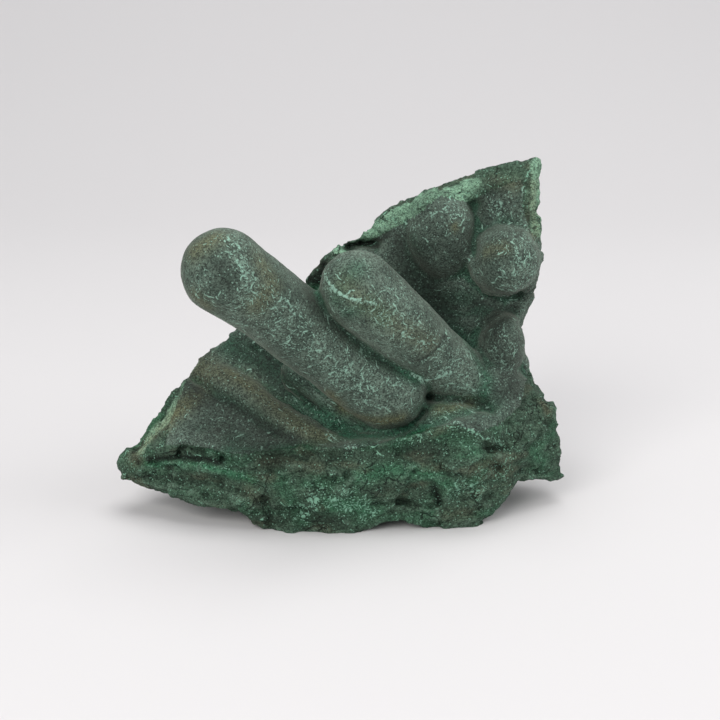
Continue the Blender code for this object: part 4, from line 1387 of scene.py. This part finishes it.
@dataclass(frozen=True)
class RockFinish(Finish):
    """Broken massive malachite: dark breaks, dusty edges with a painted highlight on the crests,
    painted shade in its hollows, and fresh fibrous green.
    """

    grain_rise: float = 1.3
    grain_least: float = 0.12
    grain_tones: Band = (0.5, 1.5)
    dark: Colour = (0.024, 0.050, 0.031)
    plain: Colour = (0.054, 0.092, 0.062)
    emerald: Colour = (0.026, 0.108, 0.054)
    fresh: Colour = (0.165, 0.292, 0.196)
    # pale dust, which also serves as a painted highlight on the crests
    dust_and_highlight: Colour = (0.130, 0.205, 0.150)
    rust: Colour = (0.068, 0.076, 0.048)
    khaki: Colour = (0.165, 0.210, 0.130)
    # the dark of the cracks, also used as painted shade in the hollows and under the dark dabs
    crack_and_painted_shade: Colour = (0.006, 0.011, 0.007)
    mint: Colour = (0.190, 0.380, 0.270)
    roughness: float = 0.8
    specular: float = 0.2
    relief: float = 0.22
    bump: float = 0.8
    mottle_size: float = 5.0
    bed_size: float = 1.3
    bed_stretch: Place = (3.0, 3.0, 0.4)
    broad_size: float = 9.0
    broad_stretch: Place = (1.5, 1.5, 0.7)
    tone_band: Band = (0.30, 0.66)
    green_where: Ramp = (0.52, 0.66, (0.0, 0.35))
    brown_where: Ramp = (0.46, 0.34, (0.0, 0.6))
    dull_where: Ramp = (0.56, 0.38, (0.0, 0.6))
    dust_and_highlight_where: Ramp = (-0.12, -0.45, (0.0, 0.5))
    painted_shade_where: Ramp = (0.05, 0.40, (0.0, 0.6))
    khaki_share: float = 0.8
    fresh_band: Band = (0.80, 1.02)
    fresh_uneven: float = 0.9
    stray_threads: Ramp = (0.42, 0.62, (0.0, 0.03))
    mint_threads: float = 0.5
    least_threads: float = 0.01
    crumb_size: float = 0.7
    crumb_stretch: Place = (1.3, 1.3, 0.7)
    crumb_height: float = -0.6
    crack_height: float = -3.0
    grain_height: float = 0.9
    crack_size: float = 2.5
    crack_bend: float = 3.0
    crack_scale: float = 0.17
    crack_line: Ramp = (0.005, 0.03, (0.8, 0.0))
    crack_patch: float = 6.0
    crack_where: Band = (0.50, 0.60)
    blob_size: float = 1.5
    blob_least: float = 0.05
    blob_spread: float = 0.35
    blob_rim: Ramp = (-0.08, 0.04, (0.9, 0.0))
    blob_where: Band = (0.45, 0.85)

    def build(self) -> bpy.types.Material:
        """Makes the material."""
        held = {"Roughness": self.roughness, "Specular IOR Level": self.specular}
        material, graph, shader = new_material("broken_rock", held)
        mottle = graph.cloud(graph.spot(), self.mottle_size, 5.0, roughness=0.62)
        beds = graph.cloud(graph.spot(self.bed_stretch), self.bed_size, 4.0, roughness=0.6)
        broad = graph.cloud(graph.spot(self.broad_stretch), self.broad_size, 3.0)
        tone = graph.math("MULTIPLY_ADD", mottle, 0.5, graph.math("MULTIPLY", beds, 0.5))
        ochre = Tint.OCHRE.value
        colour = graph.blend(graph.between(tone, *self.tone_band), self.dark, self.plain)
        green = graph.between(broad, *self.green_where)
        green = graph.math("MAXIMUM", graph.stored(Tint.EMERALD.value), green)
        colour = graph.blend(green, colour, self.emerald)
        brown = graph.between(broad, *self.brown_where)
        brown = graph.math("MAXIMUM", graph.stored(ochre), brown)
        colour = graph.blend(brown, colour, self.rust)
        bright = graph.blend(graph.between(tone, *self.dull_where), self.fresh, self.plain)
        crusted = graph.math("MULTIPLY", graph.stored(ochre), self.khaki_share)
        bright = graph.blend(crusted, bright, self.khaki)
        patch = graph.stored(Tint.FRESH.value)
        patch = graph.math("MULTIPLY_ADD", tone, self.fresh_uneven, patch)
        colour = graph.blend(graph.between(patch, *self.fresh_band), colour, bright)
        # dust on the crests with a painted highlight: lighter where the surface stands out
        edge = graph.between(graph.stored(HOLLOW), *self.dust_and_highlight_where)
        colour = graph.blend(graph.math("MULTIPLY", edge, mottle), colour, self.dust_and_highlight)
        cracks = self.cracks(graph)
        # painted shade: darker in the hollows and where the dark dabs lie; the cracks darken too
        painted_shade_share = graph.between(graph.stored(HOLLOW), *self.painted_shade_where)
        painted_shade_share = graph.math("MAXIMUM", painted_shade_share, graph.stored(Tint.DARK.value))
        colour = graph.blend(graph.math("MAXIMUM", painted_shade_share, cracks), colour, self.crack_and_painted_shade)
        thick = graph.stored(Tint.MINT.value)
        thick = graph.math("MULTIPLY_ADD", thick, self.mint_threads, self.least_threads)
        thick = graph.math("ADD", thick, graph.between(broad, *self.stray_threads))
        colour, pale, grains = self.grown(graph, colour, thick)
        for more in (self.crust(graph), graph.veined(Tint.VEIN.value)):
            pale = graph.math("MAXIMUM", pale, more)
        colour = graph.blend(pale, colour, self.mint)
        graph.feed(shader.inputs["Base Color"], colour)
        height = graph.math("MULTIPLY_ADD", grains, self.grain_height, tone)
        crumbs = graph.cells(graph.spot(self.crumb_stretch), self.crumb_size)[0]
        for relief, depth in ((crumbs, self.crumb_height), (cracks, self.crack_height)):
            height = graph.math("MULTIPLY_ADD", relief, depth, height)
        graph.feed(shader.inputs["Normal"], graph.bumped(height, self.relief, self.bump))
        return material

    def crust(self, graph: Graph) -> Value:
        """Small round blobs of late growth, where the threads lie thickest."""
        distance, colour, _ = graph.cells(graph.spot(shift=(2.0, 5.0, 8.0)), self.blob_size)
        part = graph.add("ShaderNodeSeparateColor", {"Color": colour}).outputs[0]
        size = graph.math("MULTIPLY_ADD", part, self.blob_spread, self.blob_least)
        blob = graph.between(graph.math("SUBTRACT", distance, size), *self.blob_rim)
        there = graph.between(graph.stored(Tint.MINT.value), *self.blob_where)
        return graph.math("MULTIPLY", blob, there)

    def cracks(self, graph: Graph) -> Value:
        """Thin broken cracks."""
        spot = graph.spot()
        given = {"Vector": spot, "Scale": 1.0 / self.crack_size, "Detail": 3.0}
        waves = graph.add("ShaderNodeTexNoise", given).outputs[1]
        bent = graph.vector("MULTIPLY_ADD", waves, (self.crack_bend,) * 3, spot)
        given = {"Vector": bent, "Scale": self.crack_scale}
        cells = graph.add("ShaderNodeTexVoronoi", given, feature="DISTANCE_TO_EDGE")
        there = graph.cloud(graph.spot(shift=(9.0, 4.0, 2.0)), self.crack_patch)
        there = graph.between(there, *self.crack_where)
        line = graph.between(cells.outputs["Distance"], *self.crack_line)
        return graph.math("MULTIPLY", line, there)


# The studio


@dataclass(frozen=True)
class Sweep:
    """A pale floor that curves up into a backdrop."""

    width: float = 6.0
    front: float = 3.0
    back: float = 0.3
    bend: float = 0.7
    height: float = 1.1
    steps: int = 24
    colour: Colour = (0.66, 0.647, 0.647)
    roughness: float = 0.9
    specular: float = 0.2

    def build(self) -> bpy.types.Object:
        """Draws a straight edge back along the floor and up the wall."""
        bm = bmesh.new()
        ends = [bm.verts.new((side * self.width / 2, -self.front, 0.0)) for side in (-1, 1)]
        edge = [bm.edges.new(ends)]
        edge = self.drawn(bm, edge, (0.0, self.front + self.back, 0.0))
        turned = bmesh.ops.spin(
            bm,
            geom=edge,
            cent=(0.0, self.back, self.bend),
            axis=(1.0, 0.0, 0.0),
            angle=math.pi / 2,
            steps=self.steps,
        )
        edge = [item for item in turned["geom_last"] if isinstance(item, bmesh.types.BMEdge)]
        self.drawn(bm, edge, (0.0, 0.0, self.height))
        bmesh.ops.recalc_face_normals(bm, faces=bm.faces[:])
        sweep = Skin.from_bmesh(bm, "sweep").obj
        sweep.data.shade_smooth()
        sweep.data.materials.append(self.paper())
        return sweep

    def drawn(self, bm: bmesh.types.BMesh, edge: list, way: Place) -> list:
        """Extrudes the edge by a move, and gives the new edge."""
        made = bmesh.ops.extrude_edge_only(bm, edges=edge)["geom"]
        verts = [item for item in made if isinstance(item, bmesh.types.BMVert)]
        bmesh.ops.translate(bm, verts=verts, vec=way)
        return [item for item in made if isinstance(item, bmesh.types.BMEdge)]

    def paper(self) -> bpy.types.Material:
        """Matt pale paper."""
        held = {
            "Base Color": self.colour,
            "Roughness": self.roughness,
            "Specular IOR Level": self.specular,
        }
        return new_material("pale_paper", held)[0]


@dataclass(frozen=True)
class SoftBox:
    """A square soft light."""

    name: str
    place: Place
    size: float
    power: float
    colour: Colour = (1.0, 1.0, 1.0)
    aim: Place = (0.0, 0.0, 0.035)

    def build(self) -> bpy.types.Object:
        """Hangs the light and aims it."""
        light = bpy.data.lights.new(self.name, "AREA")
        light.size = self.size
        light.energy = self.power
        light.color = self.colour
        obj = bpy.data.objects.new(self.name, light)
        obj.location = self.place
        way = Vector(self.aim) - Vector(self.place)
        obj.rotation_euler = way.to_track_quat("-Z", "Y").to_euler()
        bpy.context.scene.collection.objects.link(obj)
        return obj


@dataclass(frozen=True)
class Studio:
    """The soft boxes and the room's own light."""

    boxes: tuple[SoftBox, ...] = (
        SoftBox("key", (-0.36, -0.70, 0.52), 0.55, 5.5, (1.0, 0.985, 0.97)),
        SoftBox("side", (0.65, -0.10, 0.40), 0.50, 2.2),
        SoftBox("top", (0.05, 0.10, 0.80), 0.60, 3.4),
    )
    air: Colour = (0.95, 0.96, 1.0)
    air_strength: float = 0.47

    def build(self) -> None:
        """Lights the room."""
        for box in self.boxes:
            box.build()
        world = bpy.data.worlds.new("room")
        bpy.context.scene.world = world
        world.use_nodes = True
        background = world.node_tree.nodes["Background"]
        background.inputs["Color"].default_value = (*self.air, 1.0)
        background.inputs["Strength"].default_value = self.air_strength
        bpy.context.scene.view_settings.view_transform = "Standard"


@dataclass(frozen=True)
class Viewpoint:
    """A long lens a little above the specimen, square to its front."""

    aim: Place = (4.5, 0.0, 35.3)
    distance: float = 384.0
    elevation: float = 17.0
    lens: float = 85.0
    sensor: float = 36.0
    nearest: float = 0.01

    def build(self) -> bpy.types.Object:
        """Places the camera and makes it the scene's."""
        camera = bpy.data.cameras.new("camera")
        camera.lens = self.lens
        camera.sensor_width = self.sensor
        camera.clip_start = self.nearest
        tilt = math.radians(self.elevation)
        back = Vector((0.0, -math.cos(tilt), math.sin(tilt)))
        obj = bpy.data.objects.new("camera", camera)
        obj.location = (Vector(self.aim) + back * self.distance) * MM
        obj.rotation_euler = (-back).to_track_quat("-Z", "Y").to_euler()
        bpy.context.scene.collection.objects.link(obj)
        bpy.context.scene.camera = obj
        return obj


def corners(box: tuple[Vector, Vector]) -> list[list[float]]:
    """A box's two corners as plain lists."""
    return [list(corner) for corner in box]


def main() -> None:
    """Builds the specimen, its finishes and the studio."""
    logging.basicConfig(level=logging.INFO, format="%(name)s: %(message)s")
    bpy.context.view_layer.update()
    sugar = Sugar().group()
    streaks = Streaks().group()
    specimen = Specimen()
    skin = specimen.build()
    specimen.paint(skin)
    finishes = (LiningFinish(sugar, streaks).build(), RockFinish(sugar, streaks).build())
    specimen.dress(skin, finishes)
    LOG.info("stone dressed")
    Sweep().build()
    Studio().build()
    Viewpoint().build()
    LOG.info("studio ready")


if __name__ == "__main__":
    main()
